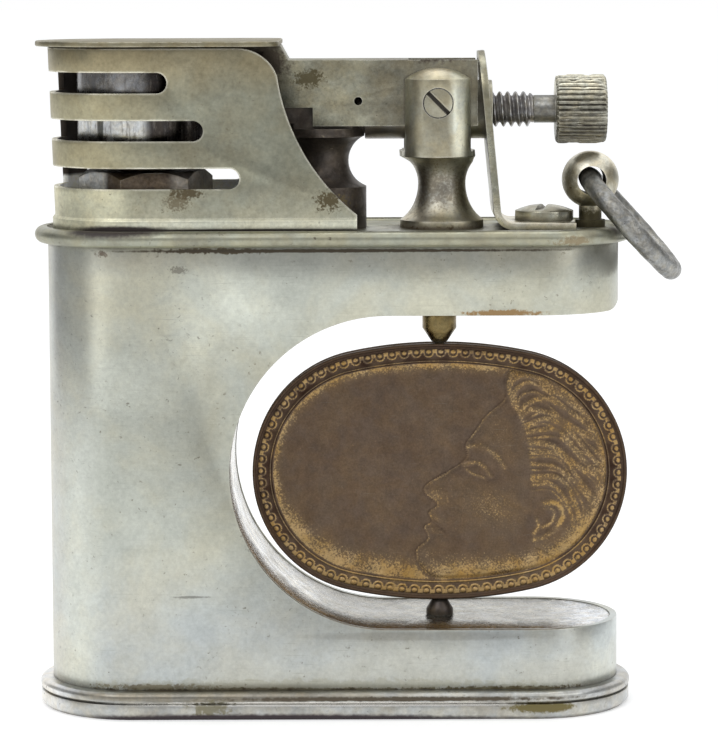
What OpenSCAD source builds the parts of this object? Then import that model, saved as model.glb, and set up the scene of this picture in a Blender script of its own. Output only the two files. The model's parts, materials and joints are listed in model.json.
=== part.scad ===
/* [Tank] */
// Width of the tank across its round ends
tank_w = 40; // [37:0.5:46]
// Depth of the tank, front to back
tank_d = 12; // [11.5:0.25:14]
// Thickness of the tank's sheet
wall = 0.5; // [0.3:0.05:0.7]
// How far the deck and base stand out past the tank
flange_out = 0.92; // [0.7:0.02:1.2]

/* [Window] */
// Height of the lower arm's top above the table
window_low = 6.15; // [5:0.05:6.5]
// Height of the window that the medallion spins in
window_h = 21.85; // [20.5:0.05:22.5]
// Height of the tank's upper arm, from the window to the deck's floor
bridge_h = 5.65; // [5.5:0.05:7]
// Width of the tank's full-height part, beside the window
block_w = 12.85; // [12.5:0.05:13.5]
// How far the lining sits back from the cut edge of the wall
liner_inset = 0.05; // [0.02:0.01:0.4]
// Thickness of the lining
liner_t = 0.45; // [0.3:0.05:0.6]
// Radius on the upper arm's lower corner
nose_r = 0.9; // [0.4:0.1:1.5]

/* [Deck] */
// Thickness of the deck's flange
deck_t = 0.9; // [0.7:0.05:1.2]
// Height of the rolled rim above the deck's floor
rim_h = 0.22; // [0.1:0.02:0.4]
// Width of the rolled rim, seen from above
rim_w = 0.85; // [0.6:0.05:1]
// Depth of the plug below the flange, inside the tank
skirt_h = 1; // [0.6:0.1:1.6]

/* [Base] */
// Height of the base below the tank
base_h = 1.95; // [1.7:0.05:2.3]
// Radius of the bead round the top of the base
bead_r = 0.42; // [0.3:0.02:0.5]
// Thickness of the flat foot under the bead
foot_t = 1.08; // [0.7:0.02:1.1]
// Chamfer under the foot
foot_chamfer = 0.3; // [0.1:0.05:0.5]
// Height of the base's plug inside the tank
plug_h = 0.9; // [0.5:0.1:1.5]

/* [Filler] */
// Place of the filler screw, from the middle of the base
filler_x = -8; // [-9:0.5:-3]
// Radius of the filler screw's head
filler_head_r = 3.4; // [3:0.1:3.6]
// Thickness of the filler screw's head
filler_head_t = 0.75; // [0.5:0.05:0.8]
// Radius of the filler screw's thread
filler_r = 2.45; // [2:0.05:2.6]
// Length of the filler screw's thread
filler_len = 3.2; // [2.8:0.1:3.4]
// Thickness of the filler's sealing ring
gasket_t = 0.35; // [0.2:0.05:0.4]
// Depth that the filler's head sits inside the base
filler_sunk = 0.15; // [0.1:0.05:0.2]

/* [Burner] */
// Distance of the burner from the tank's left end
burner_in = 6.9; // [6.7:0.1:7.2]
// Width of the burner's hexagon across its flats
burner_af = 8.2; // [7.4:0.1:8.6]
// Height of the burner's hexagon
burner_h = 4.1; // [3.6:0.1:4.4]
// Outer radius of the wick tube
wick_tube_r = 1.7; // [1.4:0.1:2]
// Height of the wick tube's mouth above the deck
wick_tube_h = 7.2; // [6.4:0.1:7.6]
// Radius of the wick
wick_r = 0.95; // [0.7:0.05:1]
// Height of wick that stands out of its tube
wick_out = 0.5; // [0.2:0.1:1]
// Length of wick inside the tank, below the deck
wick_in = 21.35; // [18:0.05:22]
// Radius of the burner's thread, through the deck
burner_thread_r = 2.5; // [2.2:0.1:3]

/* [Windguard] */
// Thickness of the windguard's sheet
guard_t = 0.4; // [0.3:0.05:0.5]
// Radius of the windguard's round end at the deck
guard_low_r = 5.45; // [5.3:0.05:5.5]
// Radius of the windguard's round end at the top
guard_top_r = 5.87; // [5.6:0.05:6]
// Height of the windguard above the deck
guard_h = 12.68; // [12.2:0.02:12.8]
// Right end of the windguard's foot, from the tank's left end
guard_len = 21.7; // [21:0.05:22]
// Radius of the sweep down the windguard's open edge
guard_sweep_r = 14.8; // [14:0.1:16]
// Middle of the sweep, from the tank's left end
guard_sweep_x = 30.95; // [30.5:0.05:31.5]
// Middle of the sweep, above the deck
guard_sweep_z = 12.8; // [12.3:0.1:13.3]
// Radius on the windguard's top corner
guard_corner_r = 2.9; // [2:0.1:3.2]
// Height of the thicker band along the windguard's foot
guard_band_h = 0.85; // [0.5:0.05:1.2]
// How far that band stands out
guard_band_out = 0.2; // [0.1:0.02:0.3]
// Height of each slot
slot_h = 1.4; // [1:0.05:1.8]
// Middle of the lowest slot above the deck
slot_z = 3.76; // [3.2:0.05:4]
// Rise from one slot to the next
slot_pitch = 3.28; // [2.6:0.02:3.4]
// Right end of the lowest slot, from the tank's left end
slot_len = 13.65; // [12.5:0.05:14]
// How much shorter each higher slot is
slot_step = 2.45; // [1.5:0.05:2.6]
// Number of slots one above the other
slots = 3; // [2:1:3]

/* [Lid] */
// Gap between the windguard and the closed lid
lid_gap = 0.09; // [0.06:0.01:0.4]
// Thickness of the lid
lid_t = 0.38; // [0.3:0.02:0.6]
// How far the lid stands out past the windguard, front and back
lid_side = 0.46; // [0.3:0.02:0.7]
// How far the lid stands out past the windguard's round end
lid_end = 0.87; // [0.5:0.02:1.2]
// Right end of the lid, from the tank's left end
lid_len = 16.4; // [16:0.05:17]
// Radius of the snuffer cup
cup_r = 4.75; // [4.4:0.05:4.8]
// Thickness of the snuffer cup
cup_t = 0.4; // [0.3:0.05:0.5]
// Height of the snuffer cup
cup_h = 7.4; // [6.8:0.1:7.6]

/* [Pivot pillar] */
// Distance of the pivot pillar from the middle of the deck
pillar_x = 7.3; // [7:0.05:7.6]
// Height of the lift arm's pivot above the deck
pivot_h = 8.84; // [8.7:0.02:9]
// Radius of the pillar's foot
pillar_foot_r = 2.92; // [2.6:0.02:3.1]
// Radius of the pillar's waist
pillar_waist_r = 1.66; // [1.4:0.02:1.9]
// Height of the pillar's waist above the deck
pillar_waist_h = 3.1; // [2.9:0.05:3.3]
// Radius of the hollow turned round the waist
pillar_hollow_r = 2.3; // [2:0.05:2.5]
// Radius of the collar under the yoke
collar_r = 2.65; // [2.5:0.05:2.8]
// Height of the yoke's underside above the deck
yoke_low_h = 5.12; // [5:0.02:5.3]
// Radius of each ear, seen from above
ear_r = 2.45; // [2.2:0.05:2.6]
// Depth of the yoke from ear to ear, outside
yoke_d = 8.8; // [8.6:0.05:9.6]
// Height of the ears' straight sides above the deck
ear_h = 10.45; // [10.3:0.05:10.6]
// Height of the dome on each ear
dome_h = 0.9; // [0.6:0.05:1.1]
// Radius of each pivot screw's head
pivot_screw_r = 1.02; // [0.9:0.02:1.2]
// Radius of each pivot screw's tip
pivot_pin_r = 0.78; // [0.6:0.02:0.8]

/* [Lift arm] */
// Width of the arm's channel, outside
arm_w = 5.5; // [5.3:0.05:5.7]
// Thickness of the arm's sides
arm_t = 0.55; // [0.45:0.01:0.56]
// Height of the arm's top above its pivot
arm_up = 2.93; // [2.85:0.01:3]
// Depth of the arm's sides below its pivot
arm_down = 1.63; // [1.4:0.01:1.8]
// Length of the arm right of its pivot
arm_right = 2.77; // [2.6:0.01:2.9]
// Length of the arm left of its pivot, up to the bend
arm_left = 10.35; // [10.2:0.05:10.5]
// Distance left of the pivot where the lower edge steps up
arm_notch_x = 8.65; // [8.2:0.05:9]
// Height of that step
arm_notch_h = 1.29; // [1:0.01:1.5]
// Radius of the small hole through the front side
arm_hole_r = 0.28; // [0.2:0.02:0.4]
// Distance left of the pivot to the small hole
arm_hole_x = 5.5; // [5:0.1:6]
// Length of the tongue under the lid
tongue_len = 4.4; // [3.8:0.1:4.5]
// Thickness of the tongue
tongue_t = 0.4; // [0.3:0.02:0.5]

/* [Wheel and post] */
// Distance of the wheel post from the middle of the deck
post_x = -0.65; // [-0.8:0.05:-0.5]
// Radius of the post's foot
post_foot_r = 3; // [2.8:0.05:3.1]
// Radius of the post's waist
post_waist_r = 1.75; // [1.5:0.05:2]
// Height of the post's waist above the deck
post_waist_h = 4.7; // [4.5:0.05:4.9]
// Radius of the hollow turned round the post's waist
post_hollow_r = 1.9; // [1.7:0.05:2.1]
// Radius of the post's head
post_head_r = 2.87; // [2.7:0.01:3]
// Height of the post's round head above the deck
post_round_h = 7; // [6.85:0.05:7.1]
// Height of the top of the post's milled head above the deck
post_top_h = 10.4; // [10.35:0.01:10.6]
// Radius of the sparking wheel over its teeth
wheel_r = 2.8; // [2.6:0.02:2.85]
// Width of the sparking wheel
wheel_w = 2.1; // [1.8:0.05:2.15]
// Number of teeth on the sparking wheel
wheel_teeth = 36; // [24:2:48]
// Depth of the wheel's teeth
tooth_h = 0.18; // [0.1:0.02:0.25]
// Distance from the post to the wheel's axle
axle_in = 4.55; // [4.5:0.01:4.7]
// Height of the wheel's axle above the deck
axle_h = 8.8; // [8.7:0.02:8.9]
// Radius of the wheel's axle
axle_r = 0.5; // [0.4:0.02:0.6]
// Radius of the fork's round end
fork_r = 1.5; // [1.3:0.05:1.6]
// Height of the fork's underside below the axle
fork_low = 1.4; // [1.2:0.05:1.45]

/* [Flint tube] */
// Height of the flint tube's middle above the deck
tube_h = 8.25; // [8.2:0.01:8.3]
// Outer radius of the flint tube
tube_r = 2.05; // [1.95:0.01:2.1]
// Radius of the tube's threaded end inside the post
spigot_r = 1.65; // [1.55:0.01:1.75]
// Radius of the bore that the flint slides in
flint_bore_r = 1.3; // [1.2:0.01:1.35]
// Right end of the tube, from the pivot
tube_right = 3.84; // [3.75:0.01:3.9]
// Length of the flint
flint_len = 4; // [3:0.1:4.2]
// Radius of the flint
flint_r = 1.2; // [1:0.05:1.22]
// Radius of the flint screw's thread
screw_r = 1.25; // [1.1:0.01:1.26]
// Pitch of the flint screw's thread
screw_pitch = 0.55; // [0.4:0.01:0.7]
// Length of thread inside the tube
screw_in = 2.54; // [2:0.02:2.8]
// Length of thread outside the tube
screw_out = 2.92; // [2.8:0.02:3.2]
// Radius of the neck beside the knob
neck_r = 0.97; // [0.8:0.01:1.1]
// Length of the neck
neck_len = 1.51; // [1.2:0.01:1.6]
// Radius of the knob
knob_r = 2.43; // [2.2:0.01:2.5]
// Length of the knob
knob_len = 3.54; // [3.4:0.01:3.9]
// Number of grooves round the knob
knob_grooves = 40; // [24:2:48]
// Chamfer at the knob's ends
knob_chamfer = 0.35; // [0.2:0.05:0.5]
// Thickness of the spring pin's head
pin_head_t = 0.5; // [0.4:0.05:0.7]
// Radius of the spring pin's head
pin_head_r = 1.15; // [1:0.05:1.2]
// Length of the spring pin's stem
pin_stem = 1.7; // [1.2:0.1:1.8]
// Radius of the spring pin's stem
pin_stem_r = 0.5; // [0.4:0.02:0.55]
// Diameter of the flint spring's wire
wire_d = 0.36; // [0.3:0.02:0.4]
// Radius of the flint spring, to the middle of its wire
coil_r = 0.9; // [0.85:0.01:0.95]
// Number of coils in the flint spring
coils = 6; // [4:1:7]

/* [Leaf spring] */
// Thickness of the leaf spring
leaf_t = 0.5; // [0.4:0.02:0.56]
// Width of the leaf spring
leaf_w = 6.8; // [6.2:0.1:7.2]
// Lean of the leaf spring towards the arm, in degrees
leaf_lean = 5.5; // [4.5:0.5:6.5]
// Inner radius of the leaf spring's bend
leaf_bend_r = 0.9; // [0.5:0.05:1]
// Height of the leaf spring's top above the deck
leaf_h = 12.46; // [12.3:0.02:12.6]
// Distance of the leaf's screw from the ball stud
spring_screw_gap = 3.23; // [3.15:0.01:3.35]
// Radius of the leaf's screw head
spring_screw_r = 2.05; // [1.8:0.05:2.1]
// Height of the leaf's screw head
spring_screw_h = 1.1; // [0.8:0.05:1.3]
// Turn of the slot in the leaf's screw, in degrees
spring_slot_turn = 75; // [0:5:175]
// Length of the leaf's foot past its screw
leaf_tail = 2.05; // [1.6:0.05:2.1]

/* [Ball stud and ring] */
// Distance of the ball stud from the right end of the tank
ball_in = 1.96; // [1.8:0.02:2.1]
// Height of the ball's middle above the deck
ball_h = 3.32; // [3.2:0.02:3.5]
// Radius of the ball
ball_r = 2; // [1.9:0.02:2.1]
// Radius of the hole through the ball
ball_hole_r = 1; // [0.98:0.01:1.1]
// Radius of the ball stud's neck
ball_neck_r = 0.8; // [0.7:0.02:0.9]
// Radius of the ring, to the middle of its wire
ring_r = 4.35; // [4.2:0.01:4.5]
// Radius of the ring's wire
ring_wire_r = 0.74; // [0.66:0.01:0.75]
// Angle that the ring hangs below the level, in degrees
ring_drop = 48; // [46:0.5:48.5]
// How far the ring's wire sits out from the ball's middle
ring_slack = 0.18; // [0.16:0.01:0.2]

/* [Medallion] */
// Width of the medallion
medal_w = 26.4; // [25:0.1:26.8]
// Height of the medallion
medal_h = 18.2; // [17.5:0.1:18.5]
// Thickness of the medallion at its rim
medal_t = 1.5; // [1.3:0.05:1.8]
// How far the medallion's long sides bulge past its round ends
medal_rise = 0.5; // [0.3:0.05:2]
// Width of the plain rim
medal_rim = 0.45; // [0.3:0.05:0.6]
// Width of the beaded border inside the rim
medal_border = 1.05; // [0.8:0.05:1.3]
// Depth of the field below the rim, on each side
medal_recess = 0.28; // [0.15:0.01:0.32]
// Distance of the medallion's pins from the middle of the tank
medal_x = 7.45; // [7.3:0.05:7.8]
// How far the medallion's middle sits below the window's middle
medal_drop = 0.7; // [0.3:0.025:0.8]
// Radius of the pins' tips inside the medallion
tip_r = 0.35; // [0.3:0.01:0.38]
// Length of the tips inside the medallion
tip_len = 1.2; // [0.8:0.05:1.5]
// Radius of the upper pin's collar
upper_collar_r = 1.2; // [1:0.05:1.3]
// Height of the upper pin's straight collar
upper_collar_h = 1.5; // [1.2:0.05:1.7]
// Radius of the lower pin's collar
lower_collar_r = 0.95; // [0.8:0.05:1.1]
// Height of the lower pin's straight collar
lower_collar_h = 0.4; // [0.2:0.05:0.6]

/* [Fits] */
// Radial clearance of every turning fit
running = 0.05; // [0.03:0.01:0.08]
// Gap between pieces that are fixed to each other
seat = 0.03; // [0.01:0.01:0.05]
// Side clearance of the wheel in its fork and the arm in its yoke
side_gap = 0.1; // [0.06:0.01:0.15]
// Gap between the leaf spring and the arm's end
leaf_gap = 0.08; // [0.05:0.01:0.12]
// Width of a screwdriver slot
driver_w = 0.28; // [0.2:0.02:0.4]
// Depth of a screwdriver slot
driver_d = 0.35; // [0.2:0.05:0.4]

/* [Hidden] */
$fn = 96;

// Colours of the metals and soft pieces
nickel = [0.74, 0.75, 0.71];
warm_nickel = [0.72, 0.69, 0.58];
dull_nickel = [0.56, 0.55, 0.51];
bright_steel = [0.68, 0.68, 0.66];
dark_steel = [0.27, 0.27, 0.27];
bronze = [0.36, 0.25, 0.17];
brass = [0.62, 0.5, 0.28];

// Plan of the tank: round ends on a straight middle
end_r = tank_d / 2;
spine = tank_w / 2 - end_r;
left_x = -tank_w / 2;
inner_r = end_r - wall;
plug_r = inner_r - seat;
flange_r = end_r + flange_out;
window_top = window_low + window_h;
deck_h = window_top + bridge_h;
shell_top = deck_h - deck_t;
far = tank_w;

// Window through the tank
window_r = window_h / 2;
window_x = left_x + block_w + window_r;
window_z = window_low + window_r;
medal_z = window_z - medal_drop;
liner_out = liner_inset + liner_t;

// Base and filler
foot_r = flange_r - bead_r / 6;
groove_r = flange_r - bead_r;
well_r = filler_head_r + 2 * running;
well_h = filler_sunk + filler_head_t + gasket_t;
boss_r = filler_r + 0.9;
boss_top = base_h + plug_h + 0.4;

// Studs that fix the posts through the deck
stud_low = shell_top - skirt_h - 0.3;
post_stud_r = 1.3;
small_stud_r = 0.7;
spring_stud_r = 0.9;

// Burner and wick
burner_x = left_x + burner_in;
wick_bore_r = wick_r + running;
wick_low = deck_h - wick_in;
wadding_low = boss_top + 1.6;
wadding_top = stud_low - 1.2;
wadding_gap = 0.35;
wadding_right = left_x + block_w - liner_out - wadding_gap;

// Windguard
guard_top = deck_h + guard_h;
guard_right = left_x + guard_len;
slot_wrap = 23;
slot_back = 49;

// Lid and cup
lid_z = guard_top + lid_gap;
lid_r = guard_top_r + lid_side;
lid_left = -spine - guard_top_r - lid_end;
lid_right = left_x + lid_len;
lid_corner = 1.5;

// Lift arm, from its pivot
pivot_z = deck_h + pivot_h;
arm_top = pivot_z + arm_up;
arm_low = pivot_z - arm_down;
arm_end = pillar_x + arm_right;
arm_bend = pillar_x - arm_left;
arm_notch = pillar_x - arm_notch_x;
arm_in = arm_w / 2 - arm_t;
web_t = arm_t;
web_end = pillar_x - 2;
web_drop = lid_z - arm_top;
tongue_left = lid_right - tongue_len;
arm_toe = arm_bend - 1.3;
pivot_hole_r = pivot_pin_r + running;

// Yoke
slot_half = arm_w / 2 + side_gap;
arm_sweep = norm([arm_right, arm_down]);
yoke_room = 0.2;
yoke_floor = pivot_z - arm_sweep - yoke_room;
yoke_low = deck_h + yoke_low_h;
ear_y = yoke_d / 2 - ear_r;
ear_top = deck_h + ear_h;
collar_top = yoke_low + 0.7;
dome_r = (ear_r * ear_r + dome_h * dome_h) / (2 * dome_h);

// Wheel, post and flint tube
axle_x = post_x - axle_in;
axle_z = deck_h + axle_h;
tube_z = deck_h + tube_h;
tube_end = pillar_x + tube_right;
tube_shoulder = post_x + post_head_r;
head_half = arm_in - side_gap - 0.05;
fork_slot = wheel_w / 2 + side_gap;
wheel_room = 0.15;
fork_face = axle_x + wheel_r + wheel_room;
flint_left = axle_x + wheel_r + running;
flint_right = flint_left + flint_len;
screw_left = tube_end - screw_in;
thread_right = tube_end + screw_out;
knob_left = thread_right + neck_len;
pin_right = screw_left - running;
pin_left = pin_right - pin_head_t;
spring_left = flint_right + running;
spring_right = pin_left - running;

// Leaf spring, its screw and the ball stud
ball_x = tank_w / 2 - ball_in;
spring_screw_x = ball_x - spring_screw_gap;
leaf_mid = [
  arm_end + leaf_gap + (leaf_bend_r + leaf_t) * cos(leaf_lean)
    + (arm_top - deck_h - leaf_t - leaf_bend_r) * tan(leaf_lean) + (leaf_bend_r + leaf_t) * sin(leaf_lean) * tan(leaf_lean),
  deck_h + leaf_t + leaf_bend_r
];
leaf_top = deck_h + leaf_h;
leaf_len = (leaf_h - leaf_t - leaf_bend_r) / cos(leaf_lean);
leaf_hole_room = 0.15;
leaf_hole_r = tube_r + leaf_hole_room;
leaf_foot_end = spring_screw_x + leaf_tail;

// Ball, ring and medallion
ball_z = deck_h + ball_h;
ring_mid = ring_r - ring_slack;
border_out = medal_rim + medal_border;
medal_end_r = medal_h / 2 - medal_rise;
medal_end_mid = medal_w / 2 - medal_end_r;
medal_flat_mid = (medal_end_mid ^ 2 - medal_rise ^ 2) / (2 * medal_rise);
medal_flat_r = medal_h / 2 + medal_flat_mid;
bore_r = tip_r + running;
upper_seat = window_top + liner_inset;
lower_seat = window_low - liner_inset;
medal_top = medal_z + medal_h / 2;
medal_low = medal_z - medal_h / 2;
tip_gap = 0.1;
tip_room = 0.2;
pin_neck_step = 0.2;
pin_neck_r = tip_r + pin_neck_step;
rivet_r = 0.75;
rivet_head_r = 1.3;
rivet_head_t = 0.5;

// A slab with the tank's plan, at radius r round its ends
module slab(r, low, high) {
  translate([0, 0, low]) {
    for (side = [-1, 1])
      translate([side * spine, 0, 0])
        cylinder(r = r, h = high - low);
    translate([-spine, -r, 0])
      cube([2 * spine, 2 * r, high - low]);
  }
}

// A flat profile, x outwards and y up, swept round the tank's plan
module around() {
  for (side = [-1, 1])
    translate([side * spine, 0, 0])
      rotate([0, 0, side * -90])
        rotate_extrude(angle = 180)
          children();
  for (side = [0, 1])
    mirror([0, side, 0])
      translate([-spine, 0, 0])
        rotate([90, 0, 90])
          linear_extrude(2 * spine)
            children();
}

// A shape drawn in X and Z, given depth from front to back
module upright(front, back) {
  translate([0, back, 0])
    rotate([90, 0, 0])
      linear_extrude(back - front)
        children();
}

// A rod along X between two places
module rod_x(r, from, to, z) {
  translate([from, 0, z])
    rotate([0, 90, 0])
      cylinder(r = r, h = to - from);
}

// A rod along Y between two places
module rod_y(r, from, to, x, z) {
  translate([x, to, z])
    rotate([90, 0, 0])
      cylinder(r = r, h = to - from);
}

// Side view of the window, grown outwards by g
module window_shape(g) {
  translate([window_x, window_z])
    circle(window_r + g);
  translate([window_x, window_low - g])
    square([far, window_h + 2 * g]);
}

// Side view of the metal taken off the upper arm's lower corner
module nose_cut() {
  translate([tank_w / 2 - nose_r, window_top])
    difference() {
      translate([0, -nose_r])
        square([far, 2 * nose_r]);
      translate([0, nose_r])
        circle(nose_r);
    }
}

module outer_shell() {
  color(nickel)
    difference() {
      slab(end_r, base_h, shell_top);
      slab(inner_r, base_h - 1, shell_top + 1);
      upright(-far, far)
        window_shape(0);
      upright(-far, far)
        nose_cut();
    }
}

module cutout_liner() {
  color(nickel)
    difference() {
      intersection() {
        upright(-plug_r, plug_r)
          difference() {
            window_shape(liner_out);
            window_shape(liner_inset);
          }
        slab(plug_r, base_h, shell_top);
      }
      for (low = [window_low - liner_out, upper_seat])
        translate([medal_x, 0, low - seat])
          cylinder(r = rivet_r + seat, h = liner_t + 2 * seat);
    }
}

module deck_plate() {
  lip_r = (deck_t + rim_h) / 2;
  color(nickel)
    difference() {
      union() {
        slab(flange_r - rim_w + seat, shell_top, deck_h);
        around() {
          translate([flange_r - rim_w, shell_top])
            square([rim_w - lip_r, 2 * lip_r]);
          translate([flange_r - lip_r, shell_top + lip_r])
            circle(lip_r);
        }
        slab(plug_r, shell_top - skirt_h, shell_top);
      }
      deck_hole(burner_x, burner_thread_r);
      deck_hole(post_x, post_stud_r);
      deck_hole(pillar_x, post_stud_r);
      deck_hole(spring_screw_x, spring_stud_r);
      deck_hole(ball_x, small_stud_r);
    }
}

module deck_hole(x, r) {
  translate([x, 0, stud_low])
    cylinder(r = r + seat, h = deck_h - stud_low + 1);
}

module base_cap() {
  color(nickel)
    difference() {
      union() {
        slab(foot_r - foot_chamfer, 0, foot_t);
        around()
          polygon([
            [inner_r, 0], [foot_r - foot_chamfer, 0], [foot_r, foot_chamfer],
            [foot_r, foot_t], [inner_r, foot_t]
          ]);
        slab(groove_r, foot_t, base_h);
        around()
          translate([flange_r - bead_r, base_h - bead_r])
            circle(bead_r);
        slab(plug_r, base_h, base_h + plug_h);
        translate([filler_x, 0, base_h])
          cylinder(r = boss_r, h = boss_top - base_h);
      }
      translate([filler_x, 0, -1])
        cylinder(r = well_r, h = 1 + well_h);
      translate([filler_x, 0, -1])
        cylinder(r = filler_r + running, h = boss_top + 2);
      base_hollow();
    }
}

// The base is pressed sheet, so its plug is open around the filler's boss
module base_hollow() {
  difference() {
    slab(plug_r - wall, base_h + 0.01, boss_top + 1);
    translate([filler_x, 0, 0])
      cylinder(r = boss_r, h = boss_top + 2);
  }
}

module filler_screw() {
  top = filler_sunk + filler_head_t;
  color(nickel)
    difference() {
      union() {
        translate([filler_x, 0, filler_sunk])
          cylinder(r = filler_head_r, h = filler_head_t);
        translate([filler_x, 0, top])
          cylinder(r = filler_r, h = filler_len);
      }
      translate([filler_x - far / 2, -driver_w, filler_sunk - 1])
        cube([far, 2 * driver_w, 1 + driver_d]);
    }
}

module filler_gasket() {
  low = filler_sunk + filler_head_t + seat;
  color("black")
    translate([filler_x, 0, low])
      difference() {
        cylinder(r = filler_head_r - running, h = gasket_t - 2 * seat);
        translate([0, 0, -1])
          cylinder(r = filler_r + running, h = 2 + gasket_t);
      }
}

module cotton_wadding() {
  color("ivory")
    difference() {
      intersection() {
        slab(plug_r - wadding_gap, wadding_low, wadding_top);
        translate([left_x, -end_r, 0])
          cube([wadding_right - left_x, tank_d, deck_h]);
      }
      translate([burner_x, 0, wick_low - 1])
        cylinder(r = wick_r + running, h = deck_h);
    }
}

module wick() {
  color("wheat")
    translate([burner_x, 0, wick_low])
      cylinder(r = wick_r, h = deck_h + wick_tube_h + wick_out - wick_low);
}

module burner() {
  corner_r = burner_af / 2 / cos(30);
  chamfer = 0.5;
  color(dull_nickel)
    translate([burner_x, 0, 0])
      difference() {
        union() {
          intersection() {
            translate([0, 0, deck_h])
              rotate([0, 0, 12])
                cylinder(r = corner_r, h = burner_h, $fn = 6);
            rotate_extrude()
              polygon([
                [0, deck_h], [corner_r, deck_h], [corner_r, deck_h + burner_h - chamfer],
                [corner_r - 1.2 * chamfer, deck_h + burner_h], [0, deck_h + burner_h]
              ]);
          }
          cylinder(r = burner_thread_r, h = deck_h - stud_low + 1);
          translate([0, 0, deck_h])
            cylinder(r = wick_tube_r, h = wick_tube_h);
          translate([0, 0, stud_low - 0.6])
            cylinder(r = burner_thread_r, h = deck_h - stud_low + 0.6);
        }
        translate([0, 0, -1])
          cylinder(r = wick_bore_r, h = deck_h + wick_tube_h + 2);
        translate([0, 0, -1])
          cylinder(r = far, h = stud_low - 0.6 + 1);
      }
}

// Side view of the windguard's wall
module guard_profile() {
  polygon([
    [guard_low_r - guard_t, 0],
    [guard_low_r + guard_band_out, 0],
    [guard_low_r + guard_band_out, guard_band_h],
    [guard_low_r + (guard_top_r - guard_low_r) * guard_band_h / guard_h, guard_band_h + guard_band_out],
    [guard_top_r, guard_h],
    [guard_top_r - guard_t, guard_h]
  ]);
}

module guard_outline() {
  corner_x = left_x + guard_sweep_x
    - sqrt(guard_sweep_r ^ 2 - (guard_h - guard_sweep_z - guard_corner_r) ^ 2) - guard_corner_r;
  difference() {
    translate([left_x - 1, deck_h])
      square([guard_len + 1, guard_h]);
    translate([left_x + guard_sweep_x, deck_h + guard_sweep_z])
      circle(guard_sweep_r);
    translate([corner_x, guard_top - guard_corner_r])
      difference() {
        square(guard_corner_r * 3);
        circle(guard_corner_r);
      }
  }
}

// Side view of one slot with round ends, from one place to the other
module slot_shape(from, to, z) {
  translate([from, z - slot_h / 2])
    square([to - slot_h / 2 - from, slot_h]);
  translate([to - slot_h / 2, z])
    circle(slot_h / 2);
}

module windguard() {
  wrap_y = guard_low_r * sin(slot_wrap);
  back_x = -spine - guard_low_r * cos(slot_back);
  back_y = guard_low_r * sin((slot_wrap + slot_back) / 2);
  color(warm_nickel)
    difference() {
      intersection() {
        translate([0, 0, deck_h])
          union() {
            translate([-spine, 0, 0])
              rotate([0, 0, 90])
                rotate_extrude(angle = 180)
                  guard_profile();
            for (side = [0, 1])
              mirror([0, side, 0])
                translate([-spine, 0, 0])
                  rotate([90, 0, 90])
                    linear_extrude(guard_right + spine)
                      guard_profile();
          }
        upright(-far, far)
          guard_outline();
      }
      for (k = [0 : slots - 1]) {
        slot_end = left_x + slot_len - k * slot_step;
        z = deck_h + slot_z + k * slot_pitch;
        upright(-far, wrap_y)
          slot_shape(left_x - 2, slot_end, z);
        upright(back_y, far)
          slot_shape(back_x, slot_end, z);
      }
    }
}

// A turned spool: a foot, a hollow waist and a head
module spool(foot, head, waist, waist_h, hollow, top) {
  rotate_extrude()
    difference() {
      union() {
        square([foot, waist_h]);
        square([head, top]);
      }
      translate([waist + hollow, waist_h])
        circle(hollow);
    }
}

module wheel_post() {
  color(dark_steel)
    difference() {
      union() {
        translate([post_x, 0, deck_h])
          spool(post_foot_r, post_head_r, post_waist_r, post_waist_h, post_hollow_r, post_top_h);
        translate([axle_x, -head_half, axle_z - fork_low])
          cube([axle_in, 2 * head_half, fork_low + fork_r]);
        rod_y(fork_r, -head_half, head_half, axle_x, axle_z);
        translate([post_x, 0, stud_low])
          cylinder(r = post_stud_r, h = deck_h - stud_low + 1);
      }
      for (side = [0, 180])
        translate([post_x, 0, deck_h + post_round_h])
          rotate([0, 0, side])
            translate([-far / 2, head_half, 0])
              cube(far);
      translate([axle_x - 2 * fork_r, -fork_slot, axle_z - wheel_r - wheel_room])
        cube([fork_face - axle_x + 2 * fork_r, 2 * fork_slot, far]);
      rod_y(axle_r + seat, -far, far, axle_x, axle_z);
      rod_x(spigot_r + seat, fork_face - 0.1, far, tube_z);
    }
}

module spark_wheel() {
  step = 180 / wheel_teeth;
  color(dark_steel)
    difference() {
      upright(-wheel_w / 2, wheel_w / 2)
        translate([axle_x, axle_z])
          polygon([
            for (k = [0 : 2 * wheel_teeth - 1])
              (k % 2 == 0 ? wheel_r : wheel_r - tooth_h) * [cos(k * step), sin(k * step)]
          ]);
      rod_y(axle_r + running, -far, far, axle_x, axle_z);
    }
}

module wheel_axle() {
  color(bright_steel)
    rod_y(axle_r, -head_half, head_half, axle_x, axle_z);
}

module flint_tube() {
  color(dull_nickel)
    difference() {
      union() {
        rod_x(tube_r, tube_shoulder + seat, tube_end, tube_z);
        rod_x(spigot_r, fork_face, tube_shoulder + 1, tube_z);
      }
      rod_x(flint_bore_r, fork_face - 1, tube_end + 1, tube_z);
    }
}

module flint() {
  color("dimgray")
    rod_x(flint_r, flint_left, flint_right, tube_z);
}

// Middle of the flint spring's wire at angle a
function coil_point(a) = [
  spring_left + wire_d / 2 + (spring_right - spring_left - wire_d) * a / (360 * coils),
  coil_r * cos(a),
  tube_z + coil_r * sin(a)
];

// One ring of points round the wire at angle a
function coil_ring(a, sides) = [
  for (s = [0 : sides - 1])
    let (turn = s * 360 / sides)
      coil_point(a) + wire_d / 2 * (cos(turn) * [0, cos(a), sin(a)] + sin(turn) * [1, 0, 0])
];

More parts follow.
